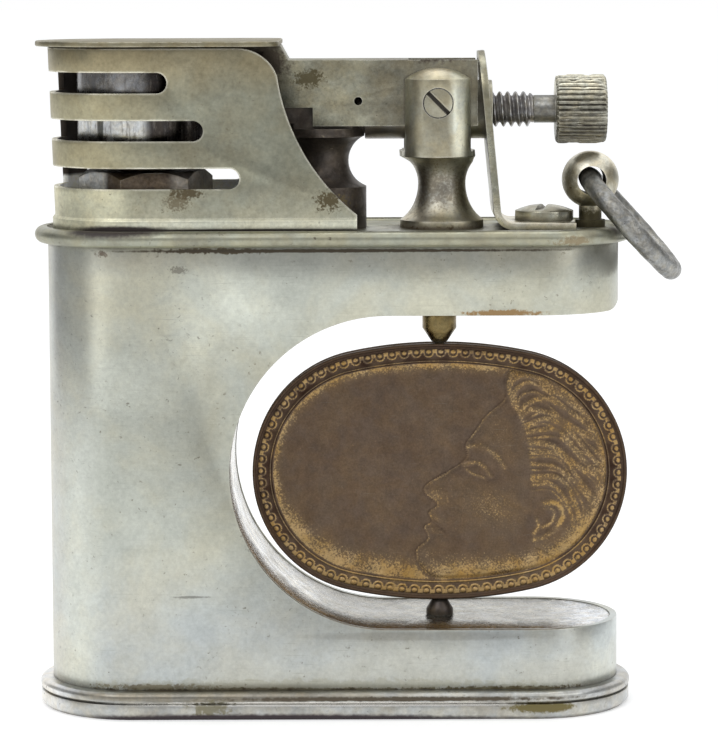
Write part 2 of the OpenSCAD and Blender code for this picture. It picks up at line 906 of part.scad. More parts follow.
module flint_spring() {
  sides = 6;
  steps = 8 * coils;
  points = [for (k = [0 : steps]) each coil_ring(k * 360 * coils / steps, sides)];
  bands = [
    for (k = [0 : steps - 1], s = [0 : sides - 1])
      let (a = k * sides + s, b = k * sides + (s + 1) % sides)
        each [[a, b, b + sides], [a, b + sides, a + sides]]
  ];
  caps = [
    for (s = [1 : sides - 2])
      each [[0, s + 1, s], [steps * sides, steps * sides + s, steps * sides + s + 1]]
  ];
  echo(least_gap_between_coils = norm(coil_point(360) - coil_point(0)) - wire_d);
  color(bright_steel)
    polyhedron(points, concat(bands, caps));
}

module spring_pin() {
  color(brass) {
    rod_x(pin_head_r, pin_left, pin_right, tube_z);
    rod_x(pin_stem_r, pin_left - pin_stem, pin_left + pin_head_t / 2, tube_z);
  }
}

// The knob's outline, with a groove after each ridge
module knob_shape() {
  step = 180 / knob_grooves;
  groove = 0.14;
  polygon([
    for (k = [0 : 2 * knob_grooves - 1])
      (k % 2 == 0 ? knob_r : knob_r - groove) * [cos(k * step), sin(k * step)]
  ]);
}

module flint_screw() {
  color(bright_steel) {
    rod_x(screw_r, screw_left, thread_right, tube_z);
    rod_x(neck_r, thread_right - 0.1, knob_left + 0.1, tube_z);
  }
  color(dull_nickel)
    translate([knob_left, 0, tube_z])
      rotate([0, 90, 0])
        intersection() {
          linear_extrude(knob_len)
            knob_shape();
          rotate_extrude()
            polygon([
              [0, 0], [knob_r - knob_chamfer, 0], [knob_r + knob_chamfer, 2 * knob_chamfer],
              [knob_r + knob_chamfer, knob_len - 3 * knob_chamfer],
              [knob_r - knob_chamfer, knob_len], [0, knob_len]
            ]);
        }
}

// Plan of the yoke: both ears and the bridge between them
module yoke_block(low, high) {
  translate([pillar_x, 0, low]) {
    for (side = [-1, 1])
      translate([0, side * ear_y, 0])
        cylinder(r = ear_r, h = high - low);
    translate([-ear_r, -ear_y, 0])
      cube([2 * ear_r, 2 * ear_y, high - low]);
  }
}

// The domed top of one ear
module ear_dome() {
  rotate_extrude()
    intersection() {
      translate([0, dome_h - dome_r])
        circle(dome_r);
      square([ear_r, dome_h]);
    }
}

module pivot_pillar() {
  color(warm_nickel)
    difference() {
      union() {
        translate([pillar_x, 0, deck_h])
          spool(pillar_foot_r, collar_r, pillar_waist_r, pillar_waist_h, pillar_hollow_r,
            collar_top - deck_h);
        yoke_block(yoke_low, ear_top);
        for (side = [-1, 1])
          translate([pillar_x, side * ear_y, ear_top])
            ear_dome();
        translate([pillar_x, 0, stud_low])
          cylinder(r = post_stud_r, h = deck_h - stud_low + 1);
      }
      translate([pillar_x - far / 2, -slot_half, yoke_floor])
        cube([far, 2 * slot_half, far]);
      rod_y(pivot_screw_r + seat, -far, far, pillar_x, pivot_z);
    }
}

module pivot_screws() {
  face = yoke_d / 2;
  color(warm_nickel)
    for (side = [0, 1])
      mirror([0, side, 0])
        difference() {
          union() {
            rod_y(pivot_screw_r, -face, -slot_half, pillar_x, pivot_z);
            rod_y(pivot_pin_r, -slot_half, -arm_in, pillar_x, pivot_z);
          }
          translate([pillar_x, -face, pivot_z])
            rotate([0, 45, 0])
              translate([-far / 2, -1, -driver_w / 2])
                cube([far, 1 + driver_d, driver_w]);
        }
}

// Side view of one side of the arm's channel
module arm_side() {
  polygon([
    [arm_end, arm_low], [arm_end, arm_top], [arm_bend, arm_top], [lid_right, lid_z],
    [tongue_left, lid_z], [tongue_left, lid_z - tongue_t], [arm_toe - 0.4, lid_z - tongue_t],
    [arm_toe, arm_low + arm_notch_h], [arm_notch, arm_low + arm_notch_h], [arm_notch, arm_low]
  ]);
}

// Side view of the sheet that joins the arm's two sides
module arm_web() {
  polygon([
    [web_end, arm_top], [arm_bend, arm_top], [lid_right, lid_z], [tongue_left, lid_z],
    [tongue_left, lid_z - tongue_t], [lid_right - tongue_t / 2, lid_z - tongue_t],
    [arm_bend - web_t / 2, arm_top - web_t], [web_end, arm_top - web_t]
  ]);
}

module lift_arm() {
  color(dull_nickel)
    difference() {
      union() {
        upright(-arm_w / 2, -arm_in)
          arm_side();
        upright(arm_in, arm_w / 2)
          arm_side();
        upright(-arm_w / 2, arm_w / 2)
          arm_web();
      }
      rod_y(pivot_hole_r, -far, far, pillar_x, pivot_z);
      rod_y(arm_hole_r, -far, 0, pillar_x - arm_hole_x, pivot_z + 0.1);
    }
}

module lid_plate() {
  color(warm_nickel)
    translate([0, 0, lid_z]) {
      translate([lid_left + lid_r, 0, 0])
        cylinder(r = lid_r, h = lid_t);
      translate([lid_left + lid_r, -lid_r, 0])
        cube([lid_right - lid_corner - lid_left - lid_r, 2 * lid_r, lid_t]);
      translate([lid_left + lid_r, lid_corner - lid_r, 0])
        cube([lid_right - lid_left - lid_r, 2 * (lid_r - lid_corner), lid_t]);
      for (side = [-1, 1])
        translate([lid_right - lid_corner, side * (lid_r - lid_corner), 0])
          cylinder(r = lid_corner, h = lid_t);
    }
}

module snuffer_cup() {
  round_r = 0.6;
  color(bright_steel)
    translate([burner_x, 0, lid_z - cup_h])
      rotate_extrude()
        difference() {
          union() {
            square([cup_r, cup_h - round_r]);
            square([cup_r - round_r, cup_h]);
            translate([cup_r - round_r, cup_h - round_r])
              circle(round_r);
          }
          translate([0, -1])
            square([cup_r - cup_t, cup_h - cup_t + 1]);
          translate([-far, 0])
            square([far, cup_h]);
        }
}

// Side view of the leaf: an upright, a quarter bend and a foot
module leaf_side() {
  outer = leaf_bend_r + leaf_t;
  translate(leaf_mid) {
    rotate(leaf_lean)
      translate([-outer, 0])
        square([leaf_t, leaf_len]);
    intersection() {
      difference() {
        circle(outer);
        circle(leaf_bend_r);
      }
      polygon([
        [0, 0], 3 * outer * [-cos(leaf_lean), -sin(leaf_lean)],
        [-3 * outer, -3 * outer], [0, -3 * outer]
      ]);
    }
    translate([0, -outer])
      square([leaf_foot_end - leaf_mid[0], leaf_t]);
  }
}

module leaf_spring() {
  half = leaf_w / 2;
  color(warm_nickel)
    difference() {
      intersection() {
        upright(-half, half)
          leaf_side();
        rotate([90, 0, 90])
          linear_extrude(far) {
            translate([-half, deck_h])
              square([leaf_w, leaf_h - half]);
            translate([0, leaf_top - half])
              circle(half);
          }
      }
      rod_x(leaf_hole_r, 0, leaf_mid[0] + 1, tube_z);
      translate([spring_screw_x, 0, deck_h - 1])
        cylinder(r = spring_stud_r + seat, h = leaf_t + 2);
    }
}

module spring_screw() {
  low = deck_h + leaf_t;
  crown = 0.45;
  crown_r = (spring_screw_r * spring_screw_r + crown * crown) / (2 * crown);
  color(dull_nickel)
    difference() {
      union() {
        translate([spring_screw_x, 0, low])
          cylinder(r = spring_screw_r, h = spring_screw_h - crown);
        translate([spring_screw_x, 0, low + spring_screw_h - crown])
          rotate_extrude()
            intersection() {
              translate([0, crown - crown_r])
                circle(crown_r);
              square([spring_screw_r, crown]);
            }
        translate([spring_screw_x, 0, stud_low])
          cylinder(r = spring_stud_r, h = low - stud_low + 0.1);
      }
      translate([spring_screw_x, 0, low + spring_screw_h - driver_d])
        rotate([0, 0, spring_slot_turn])
          translate([-far / 2, -driver_w, 0])
            cube([far, 2 * driver_w, far]);
    }
}

module ball_stud() {
  flare = 0.25;
  color(dull_nickel)
    difference() {
      union() {
        translate([ball_x, 0, ball_z])
          sphere(r = ball_r);
        translate([ball_x, 0, deck_h])
          cylinder(r = ball_neck_r, h = ball_h);
        translate([ball_x, 0, deck_h])
          cylinder(r = ball_neck_r + flare, h = 2 * flare);
        translate([ball_x, 0, stud_low])
          cylinder(r = small_stud_r, h = deck_h - stud_low + 0.1);
      }
      rod_y(ball_hole_r, -far, far, ball_x, ball_z);
    }
}

module chain_ring() {
  color(dull_nickel)
    translate([ball_x, 0, ball_z])
      rotate([0, ring_drop, 0])
        translate([ring_mid, 0, 0])
          rotate_extrude()
            translate([ring_r, 0])
              circle(ring_wire_r);
}

// The medallion's oval, drawn smaller by the given margin, from four tangent arcs
module oval(margin) {
  flat = medal_flat_mid;
  touch = medal_end_mid * (1 + medal_end_r / (medal_flat_r - medal_end_r));
  for (side = [-1, 1])
    translate([side * medal_end_mid, 0])
      circle(medal_end_r - margin);
  intersection() {
    translate([0, -flat])
      circle(medal_flat_r - margin);
    translate([0, flat])
      circle(medal_flat_r - margin);
    square([2 * (touch - margin * (touch - medal_end_mid) / medal_end_r), medal_h], center = true);
  }
}

module medallion() {
  web = medal_t - 2 * medal_recess;
  border = web + medal_recess;
  color(bronze)
    difference() {
      translate([medal_x, 0, medal_z])
        union() {
          upright(-web / 2, web / 2)
            oval(medal_rim / 2);
          upright(-border / 2, border / 2)
            difference() {
              oval(medal_rim / 2);
              oval(border_out);
            }
          upright(-medal_t / 2, medal_t / 2)
            difference() {
              oval(0);
              oval(medal_rim);
            }
        }
      translate([medal_x, 0, medal_top - tip_len - tip_room])
        cylinder(r = bore_r, h = tip_len + 1);
      translate([medal_x, 0, medal_low - 1])
        cylinder(r = bore_r, h = tip_len + 1.2);
    }
}

// A pin that stands on its seat and points up into the medallion
module pivot_pin(collar_r, collar_h, reach) {
  rotate_extrude()
    polygon([
      [0, -liner_t - rivet_head_t],
      [rivet_head_r, -liner_t - rivet_head_t],
      [rivet_head_r, -liner_t - seat],
      [rivet_r, -liner_t - seat],
      [rivet_r, 0],
      [collar_r, 0],
      [collar_r, collar_h],
      [pin_neck_r, reach - tip_gap],
      [tip_r, reach - tip_gap],
      [tip_r, reach + tip_len],
      [0, reach + tip_len]
    ]);
}

module upper_pin() {
  color(brass)
    translate([medal_x, 0, upper_seat])
      mirror([0, 0, 1])
        pivot_pin(upper_collar_r, upper_collar_h, upper_seat - medal_top);
}

module lower_pin() {
  color(dark_steel)
    translate([medal_x, 0, lower_seat])
      pivot_pin(lower_collar_r, lower_collar_h, medal_low - lower_seat);
}

outer_shell();
cutout_liner();
deck_plate();
base_cap();
filler_screw();
filler_gasket();
cotton_wadding();
wick();
burner();
windguard();
wheel_post();
spark_wheel();
wheel_axle();
flint_tube();
flint();
flint_spring();
spring_pin();
flint_screw();
pivot_pillar();
pivot_screws();
lift_arm();
lid_plate();
snuffer_cup();
leaf_spring();
spring_screw();
ball_stud();
chain_ring();
medallion();
upper_pin();
lower_pin();
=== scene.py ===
import json
import math
import random

import bmesh
import bpy
import numpy as np
from mathutils import Matrix, Vector, noise

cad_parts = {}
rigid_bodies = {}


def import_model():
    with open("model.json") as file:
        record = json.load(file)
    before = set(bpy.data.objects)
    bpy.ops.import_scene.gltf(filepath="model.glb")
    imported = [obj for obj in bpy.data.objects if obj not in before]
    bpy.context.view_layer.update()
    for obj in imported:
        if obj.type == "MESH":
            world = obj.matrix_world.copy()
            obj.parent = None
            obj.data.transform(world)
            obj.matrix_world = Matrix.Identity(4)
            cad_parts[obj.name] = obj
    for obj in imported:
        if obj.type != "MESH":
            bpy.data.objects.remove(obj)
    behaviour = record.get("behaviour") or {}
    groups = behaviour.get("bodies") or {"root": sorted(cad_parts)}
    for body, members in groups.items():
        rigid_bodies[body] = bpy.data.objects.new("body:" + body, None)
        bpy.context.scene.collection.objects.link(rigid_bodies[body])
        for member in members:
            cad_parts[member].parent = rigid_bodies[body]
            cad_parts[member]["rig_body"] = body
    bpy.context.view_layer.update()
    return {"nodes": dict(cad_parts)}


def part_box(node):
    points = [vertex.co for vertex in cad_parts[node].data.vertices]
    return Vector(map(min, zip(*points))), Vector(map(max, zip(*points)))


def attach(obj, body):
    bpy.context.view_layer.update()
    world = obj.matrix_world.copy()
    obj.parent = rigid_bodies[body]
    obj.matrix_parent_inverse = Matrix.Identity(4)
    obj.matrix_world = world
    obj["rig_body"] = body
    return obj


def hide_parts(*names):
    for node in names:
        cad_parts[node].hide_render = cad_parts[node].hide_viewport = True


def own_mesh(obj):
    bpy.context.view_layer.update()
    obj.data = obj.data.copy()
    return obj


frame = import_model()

mm = 0.001  # every size below is in millimetres, and Blender works in metres
toMm = (1000, 1000, 1000)
toMetres = Matrix.Scale(mm, 4)


def added(name, data):
    thing = bpy.data.objects.new(name, data)
    bpy.context.collection.objects.link(thing)
    return thing


# Small steps that the shader trees are built from

def inputNamed(step, label):
    return next(socket for socket in step.inputs if socket.name == label and socket.enabled)


def outputNamed(step, label):
    return next(socket for socket in step.outputs if socket.name == label and socket.enabled)


def feed(tree, value, socket):
    if isinstance(value, bpy.types.NodeSocket):
        tree.links.new(value, socket)
    else:
        socket.default_value = value


def maths(tree, operation, *values, clamp=False):
    step = tree.nodes.new("ShaderNodeMath")
    step.operation = operation
    step.use_clamp = clamp
    for value, socket in zip(values, step.inputs):
        feed(tree, value, socket)
    return step.outputs[0]


def vectorMaths(tree, operation, *values):
    step = tree.nodes.new("ShaderNodeVectorMath")
    step.operation = operation
    for value, socket in zip(values, step.inputs):
        feed(tree, value, socket)
    return step.outputs["Value" if operation in ("LENGTH", "DOT_PRODUCT") else "Vector"]


def scaled(tree, vector, amount):
    step = tree.nodes.new("ShaderNodeVectorMath")
    step.operation = "SCALE"
    feed(tree, vector, step.inputs[0])
    feed(tree, amount, step.inputs["Scale"])
    return step.outputs["Vector"]


def mixed(tree, kind, mask, under, over):
    step = tree.nodes.new("ShaderNodeMix")
    step.data_type = kind
    for value, label in ((mask, "Factor"), (under, "A"), (over, "B")):
        feed(tree, value, inputNamed(step, label))
    return outputNamed(step, "Result")


def mixColour(tree, mask, under, over):
    under, over = ((*colour, 1) if isinstance(colour, tuple) else colour for colour in (under, over))
    return mixed(tree, "RGBA", mask, under, over)


def mixValue(tree, mask, under, over):
    return mixed(tree, "FLOAT", mask, under, over)


def smoothStep(tree, value, low, high, flip=False):
    step = tree.nodes.new("ShaderNodeMapRange")
    step.interpolation_type = "SMOOTHSTEP"
    start, end = (1, 0) if flip else (0, 1)
    settings = {"Value": value, "From Min": low, "From Max": high, "To Min": start, "To Max": end}
    for label, setting in settings.items():
        feed(tree, setting, step.inputs[label])
    return step.outputs["Result"]


def grainOf(tree, place, scale, detail=4, rough=0.6, distortion=0):
    grain = tree.nodes.new("ShaderNodeTexNoise")
    grain.noise_dimensions = "3D"
    feed(tree, place, grain.inputs["Vector"])
    settings = {"Scale": scale, "Detail": detail, "Roughness": rough, "Distortion": distortion}
    for label, setting in settings.items():
        feed(tree, setting, grain.inputs[label])
    return grain.outputs["Fac"]


def placeInMm(tree):
    where = tree.nodes.new("ShaderNodeTexCoord")
    return vectorMaths(tree, "MULTIPLY", where.outputs["Object"], toMm)


# Studio: camera, lamps, floor and the cards that a metal surface mirrors

view = {
    "place": (2.406, -223.65, 51.29),
    "pitch": 0.0978,
    "yaw": -0.0027,
    "roll": 0.0036,
    "lens": 160.19,
    "sensor": 36,
    "shiftUp": -0.1253,
    "nearest": 5,
    "farthest": 20000,
}

lamps = {
    "key": {"place": (-190, -330, 420), "aim": (0, 0, 25), "size": 300, "watts": 0.42},
    "fill": {"place": (330, -260, 240), "aim": (0, 0, 25), "size": 260, "watts": 0.16},
    "top": {"place": (20, 60, 430), "aim": (0, 0, 30), "size": 260, "watts": 0.26},
}

cards = {
    "cardLeft": {"centre": (-420, 40, 150), "width": 620, "height": 300, "turn": 90, "grey": 0.3},
    "cardRight": {"centre": (420, 40, 150), "width": 620, "height": 300, "turn": 90, "grey": 0.3},
    "cardFront": {"centre": (0, -640, 170), "width": 900, "height": 330, "turn": 0, "grey": 0.5},
}

surroundings = {
    "floorSize": 9000,
    "floor": 0.9,
    "floorGlow": 0.34,
    "air": (0.74, 0.75, 0.76),
    "backdrop": (1, 1, 1),  # what the camera, metal and glass see
}


def makeCamera():
    camera = added("camera", bpy.data.cameras.new("camera"))
    camera.data.sensor_fit = "HORIZONTAL"
    camera.data.sensor_width = view["sensor"]
    camera.data.lens = view["lens"]
    camera.data.shift_y = view["shiftUp"]
    camera.data.clip_start = view["nearest"] * mm
    camera.data.clip_end = view["farthest"] * mm
    camera.matrix_world = (
        Matrix.Translation(Vector(view["place"]) * mm)
        @ Matrix.Rotation(-view["yaw"], 4, "Z")
        @ Matrix.Rotation(math.pi / 2 - view["pitch"], 4, "X")
        @ Matrix.Rotation(-view["roll"], 4, "Z")
    )
    bpy.context.scene.camera = camera


def makeLamps():
    for name, lamp in lamps.items():
        light = bpy.data.lights.new(name, "AREA")
        light.shape = "DISK"
        light.size = lamp["size"] * mm
        light.energy = lamp["watts"]
        holder = added(name, light)
        place = Vector(lamp["place"]) * mm
        aim = Vector(lamp["aim"]) * mm - place
        holder.location = place
        holder.rotation_euler = aim.to_track_quat("-Z", "Y").to_euler()


def flatSheet(name, width, depth):
    mesh = bpy.data.meshes.new(name)
    x, y = width / 2 * mm, depth / 2 * mm
    mesh.from_pydata([(-x, -y, 0), (x, -y, 0), (x, y, 0), (-x, y, 0)], [], [(0, 1, 2, 3)])
    sheet = added(name, mesh)
    return sheet


def emptyTree(owner, output):
    owner.use_nodes = True
    tree = owner.node_tree
    tree.nodes.clear()
    return tree, tree.nodes.new(output).inputs["Surface"]


def makeFloor():
    floor = flatSheet("floor", surroundings["floorSize"], surroundings["floorSize"])
    material = bpy.data.materials.new("paleFloor")
    tree, surface = emptyTree(material, "ShaderNodeOutputMaterial")
    paper = tree.nodes.new("ShaderNodeBsdfDiffuse")
    paper.inputs["Color"].default_value = (surroundings["floor"],) * 3 + (1,)
    path = tree.nodes.new("ShaderNodeLightPath")
    seen = maths(tree, "MAXIMUM", path.outputs["Is Camera Ray"], path.outputs["Is Glossy Ray"])
    glow = tree.nodes.new("ShaderNodeEmission")
    feed(tree, maths(tree, "MULTIPLY", seen, surroundings["floorGlow"]), glow.inputs["Strength"])
    both = tree.nodes.new("ShaderNodeAddShader")
    feed(tree, paper.outputs[0], both.inputs[0])
    feed(tree, glow.outputs[0], both.inputs[1])
    feed(tree, both.outputs[0], surface)
    floor.data.materials.append(material)


def makeCards():
    for name, card in cards.items():
        sheet = flatSheet(name, card["width"], card["height"])
        sheet.location = Vector(card["centre"]) * mm
        sheet.rotation_euler = (math.pi / 2, 0, math.radians(card["turn"]))
        sheet.visible_camera = False
        sheet.visible_diffuse = False
        sheet.visible_shadow = False
        sheet.visible_transmission = False
        material = bpy.data.materials.new(name)
        tree, surface = emptyTree(material, "ShaderNodeOutputMaterial")
        grey = tree.nodes.new("ShaderNodeEmission")
        grey.inputs["Color"].default_value = (card["grey"],) * 3 + (1,)
        feed(tree, grey.outputs[0], surface)
        sheet.data.materials.append(material)


def makeWorld():
    world = bpy.data.worlds.new("studio")
    bpy.context.scene.world = world
    tree, surface = emptyTree(world, "ShaderNodeOutputWorld")
    path = tree.nodes.new("ShaderNodeLightPath")
    seen = maths(tree, "MAXIMUM", path.outputs["Is Camera Ray"], path.outputs["Is Glossy Ray"])
    seen = maths(tree, "MAXIMUM", seen, path.outputs["Is Transmission Ray"])
    backdrop = tree.nodes.new("ShaderNodeBackground")
    feed(tree, mixColour(tree, seen, surroundings["air"], surroundings["backdrop"]), backdrop.inputs["Color"])
    feed(tree, backdrop.outputs[0], surface)


makeCamera()
makeLamps()
makeFloor()
makeCards()
makeWorld()
bpy.context.scene.view_settings.view_transform = "Standard"
print("studio ready")


# Shader groups: each is built once and placed in the materials with its own values

def startGroup(name, given, results):
    tree = bpy.data.node_groups.new(name, "ShaderNodeTree")
    for label, value in given.items():
        kind = "NodeSocketVector" if isinstance(value, tuple) else "NodeSocketFloat"
        socket = tree.interface.new_socket(name=label, in_out="INPUT", socket_type=kind)
        socket.default_value = value
    for label in results:
        tree.interface.new_socket(name=label, in_out="OUTPUT", socket_type="NodeSocketFloat")
    return tree, tree.nodes.new("NodeGroupInput").outputs, tree.nodes.new("NodeGroupOutput").inputs


# Lighter along rounded edges: rubbed metal, and on several finishes a painted highlight along the edge
def makeEdgeWearAndHighlight():
    tree, given, result = startGroup("edgeWearAndHighlight", {"Radius": 0.15, "Amount": 1.0, "Fleck": 2.0}, ["Mask"])
    rounded = tree.nodes.new("ShaderNodeBevel")
    rounded.samples = 4
    feed(tree, maths(tree, "MULTIPLY", given["Radius"], mm), rounded.inputs["Radius"])
    surface = tree.nodes.new("ShaderNodeNewGeometry")
    facing = vectorMaths(tree, "DOT_PRODUCT", rounded.outputs["Normal"], surface.outputs["Normal"])
    turned = smoothStep(tree, maths(tree, "SUBTRACT", 1, facing), 0.01, 0.14)
    flecks = smoothStep(tree, grainOf(tree, placeInMm(tree), given["Fleck"]), 0.3, 0.62)
    strength = maths(tree, "MULTIPLY", flecks, given["Amount"])
    feed(tree, maths(tree, "MULTIPLY", turned, strength, clamp=True), result["Mask"])
    return tree


# Darker in tight hollows found by occlusion: grime, and painted shade where the hollows lie in shade
def makeCrevice():
    tree, given, result = startGroup("crevice", {"Reach": 0.8, "Amount": 1.0, "Fleck": 1.5}, ["Mask"])
    hollow = tree.nodes.new("ShaderNodeAmbientOcclusion")
    hollow.samples = 6
    feed(tree, maths(tree, "MULTIPLY", given["Reach"], mm), hollow.inputs["Distance"])
    closed = smoothStep(tree, maths(tree, "SUBTRACT", 1, hollow.outputs["AO"]), 0.12, 0.75)
    flecks = smoothStep(tree, grainOf(tree, placeInMm(tree), given["Fleck"]), 0.25, 0.7)
    strength = maths(tree, "MULTIPLY", maths(tree, "MULTIPLY_ADD", flecks, 0.7, 0.5), given["Amount"])
    feed(tree, maths(tree, "MULTIPLY", closed, strength, clamp=True), result["Mask"])
    return tree


def makeScratches():
    settings = {"Stretch": (0.12, 0.5, 9.0), "Density": 0.5, "Wander": 0.15}
    tree, given, result = startGroup("scratches", settings, ["Height", "Lines"])
    where = placeInMm(tree)
    bend = grainOf(tree, where, 0.35, detail=2)
    push = scaled(tree, given["Stretch"], maths(tree, "MULTIPLY", bend, given["Wander"]))
    lines = vectorMaths(tree, "ADD", vectorMaths(tree, "MULTIPLY", where, given["Stretch"]), push)
    low = maths(tree, "SUBTRACT", 0.78, maths(tree, "MULTIPLY", given["Density"], 0.25))
    high = maths(tree, "ADD", low, 0.07)
    deep = smoothStep(tree, grainOf(tree, lines, 2.3, detail=3, rough=0.8), low, high)
    feed(tree, grainOf(tree, lines, 1.0, detail=5, rough=0.7), result["Height"])
    feed(tree, deep, result["Lines"])
    return tree


def makeSmudge():
    settings = {"Size": 4.0, "Low": 0.35, "High": 0.7, "Shift": (0, 0, 0)}
    tree, given, result = startGroup("smudge", settings, ["Mask"])
    where = vectorMaths(tree, "ADD", placeInMm(tree), given["Shift"])
    scale = maths(tree, "DIVIDE", 1, given["Size"])
    soft = grainOf(tree, where, scale, detail=5, rough=0.62, distortion=0.3)
    feed(tree, smoothStep(tree, soft, given["Low"], given["High"]), result["Mask"])
    return tree


def makeMottle():
    tree, given, result = startGroup("mottle", {"Size": 0.3, "Depth": 0.1}, ["Shade"])
    where = placeInMm(tree)
    fine = grainOf(tree, where, maths(tree, "DIVIDE", 1, given["Size"]), detail=4, rough=0.7)
    broad = grainOf(tree, where, maths(tree, "DIVIDE", 0.16, given["Size"]), detail=3, rough=0.6)
    both = maths(tree, "SUBTRACT", maths(tree, "MULTIPLY_ADD", broad, 0.7, fine), 0.85)
    shade = maths(tree, "MULTIPLY_ADD", both, maths(tree, "MULTIPLY", given["Depth"], 4), 1.0)
    feed(tree, shade, result["Shade"])
    return tree


def makeStainAndPaintedLight():
    settings = {"Place": (0, 0, 0), "Size": (1, 1, 1), "Ragged": 0.6, "Fleck": 2.0, "Amount": 1.0}
    tree, given, result = startGroup("stainAndPaintedLight", settings, ["Mask"])
    where = placeInMm(tree)
    away = vectorMaths(tree, "DIVIDE", vectorMaths(tree, "SUBTRACT", where, given["Place"]), given["Size"])
    flecks = maths(tree, "SUBTRACT", grainOf(tree, where, given["Fleck"], detail=6, rough=0.7), 0.5)
    uneven = maths(tree, "MULTIPLY", flecks, maths(tree, "MULTIPLY", given["Ragged"], 4))
    reach = maths(tree, "ADD", vectorMaths(tree, "LENGTH", away), uneven)
    mask = smoothStep(tree, reach, 0.55, 1.0, flip=True)
    feed(tree, maths(tree, "MULTIPLY", mask, given["Amount"], clamp=True), result["Mask"])
    return tree


groups = {
    "edgeWearAndHighlight": makeEdgeWearAndHighlight(),
    "crevice": makeCrevice(),
    "scratches": makeScratches(),
    "smudge": makeSmudge(),
    "mottle": makeMottle(),
    "stainAndPaintedLight": makeStainAndPaintedLight(),
}
print("shader groups ready")


# Materials

def placeGroup(tree, name, **values):
    copy = tree.nodes.new("ShaderNodeGroup")
    copy.node_tree = groups[name]
    for label, value in values.items():
        copy.inputs[label].default_value = value
    return copy.outputs


def maskOf(tree, name, **values):
    return placeGroup(tree, name, **values)["Mask"]


def startMaterial(name):
    material = bpy.data.materials.new(name)
    material.use_nodes = True
    tree = material.node_tree
    return material, tree, tree.nodes["Principled BSDF"].inputs


def bumpOn(tree, shader, relief):
    bump = tree.nodes.new("ShaderNodeBump")
    bump.inputs["Distance"].default_value = mm
    feed(tree, relief, bump.inputs["Height"])
    feed(tree, bump.outputs["Normal"], shader["Normal"])


plainMetal = {
    "colour": (0.46, 0.47, 0.4),
    "tint": (0.52, 0.51, 0.42),  # a second colour, in clouds of tintSize
    "tintSize": 6.0,
    "rough": (0.3, 0.42),
    "metallic": 1.0,
    "warm": (1.03, 1.0, 0.94),
    "cool": (0.97, 1.0, 1.05),
    "mottle": {"size": 0.28, "depth": 0.12},
    "scratch": {
        "stretch": (0.12, 0.5, 9.0), "density": 0.4, "depth": 0.004, "colour": (0.3, 0.3, 0.26), "show": 0.5,
    },
    "pits": {"size": 0.22, "depth": 0.006},
    "specks": {"size": 0.5, "amount": 0.0, "colour": (0.06, 0.045, 0.035)},
    "edge": {"colour": (0.75, 0.74, 0.66), "radius": 0.12, "amount": 0.7, "fleck": 1.2},
    "grimeAndShade": {"colour": (0.07, 0.06, 0.045), "reach": 0.7, "amount": 0.8, "fleck": 1.6},
    "tones": [],
    "stainsAndPaintedLight": [],
}

wornRough = 0.26  # rubbed edges, unless a finish says otherwise
grimeAndShadeRough = 0.65
grimeAndShadeDulls = 0.75  # how much of the metallic look the darkening takes away: grime and painted shade in the hollows, and dulled marks


def toneAlong(axis, start, end, colour, amount=1.0):
    return {"along": axis, "from": start, "to": end, "colour": colour, "amount": amount}


def toneRound(place, size, colour, amount=1.0):
    return {"place": place, "size": size, "colour": colour, "amount": amount}


# A mark round a place: real stains and wear, and also painted highlights and painted shadows
def stainAndPaintedLight(place, size, colour, ragged=0.5, fleck=2.0, amount=1.0, rough=0.55, dull=0.0):
    shape = {"Place": place, "Size": size, "Ragged": ragged, "Fleck": fleck, "Amount": amount}
    return {"shape": shape, "colour": colour, "rough": rough, "dull": dull}


def toneOver(tree, colour, tone):  # another tone takes over, round a place or along one direction
    if "place" in tone:
        share = maskOf(tree, "stainAndPaintedLight", Place=tone["place"], Size=tone["size"], Ragged=0.1, Fleck=0.3)
    else:
        split = tree.nodes.new("ShaderNodeSeparateXYZ")
        feed(tree, placeInMm(tree), split.inputs[0])
        share = smoothStep(tree, split.outputs[tone["along"]], tone["from"], tone["to"])
    return mixColour(tree, maths(tree, "MULTIPLY", share, tone["amount"]), colour, tone["colour"])


def giltOver(tree, colour, cloud, gilt):  # bright where the relief stands proud, from the points' own values: rubbed gilt, with painted light on the mounds
    wearAndShading = tree.nodes.new("ShaderNodeAttribute")
    wearAndShading.attribute_name = "wearAndShading"
    proud = wearAndShading.outputs["Fac"]
    grains = grainOf(tree, placeInMm(tree), 1 / gilt["fleck"], detail=3, rough=0.7)
    reach = maths(tree, "ADD", grains, maths(tree, "MULTIPLY_ADD", proud, 0.55, -0.3))
    rubbed = smoothStep(tree, reach, 0.38, 0.64)
    # a soft partial lightening of proud parts: painted light that brings out the relief
    rubbed = maths(tree, "MAXIMUM", rubbed, maths(tree, "MULTIPLY", proud, 0.35, clamp=True))
    colour = mixColour(tree, rubbed, colour, mixColour(tree, cloud, gilt["colour"], gilt["tint"]))
    sunk = maths(tree, "MULTIPLY", proud, -1.0, clamp=True)  # below nought: dirt and painted shade in the hollows
    return mixColour(tree, sunk, colour, gilt["hollow"])


def specksOver(tree, colour, specks, shift):
    spots = maskOf(tree, "smudge", Size=specks["size"], Low=0.62, High=0.7, Shift=(7, shift, 2))
    patches = maskOf(tree, "smudge", Size=specks["size"] * 9, Low=0.4, High=0.62, Shift=(2, 5, shift))
    share = maths(tree, "MULTIPLY", maths(tree, "MULTIPLY", spots, patches), specks["amount"])
    return mixColour(tree, share, colour, specks["colour"])


def metalRelief(tree, look, height):
    pits = grainOf(tree, placeInMm(tree), 1 / look["pits"]["size"], detail=3, rough=0.65)
    pits = maths(tree, "MULTIPLY", pits, look["pits"]["depth"])
    relief = maths(tree, "ADD", maths(tree, "MULTIPLY", height, look["scratch"]["depth"]), pits)
    if "waves" in look:
        swell = grainOf(tree, placeInMm(tree), 1 / look["waves"]["size"], detail=1, rough=0.4)
        relief = maths(tree, "ADD", relief, maths(tree, "MULTIPLY", swell, look["waves"]["depth"]))
    return relief


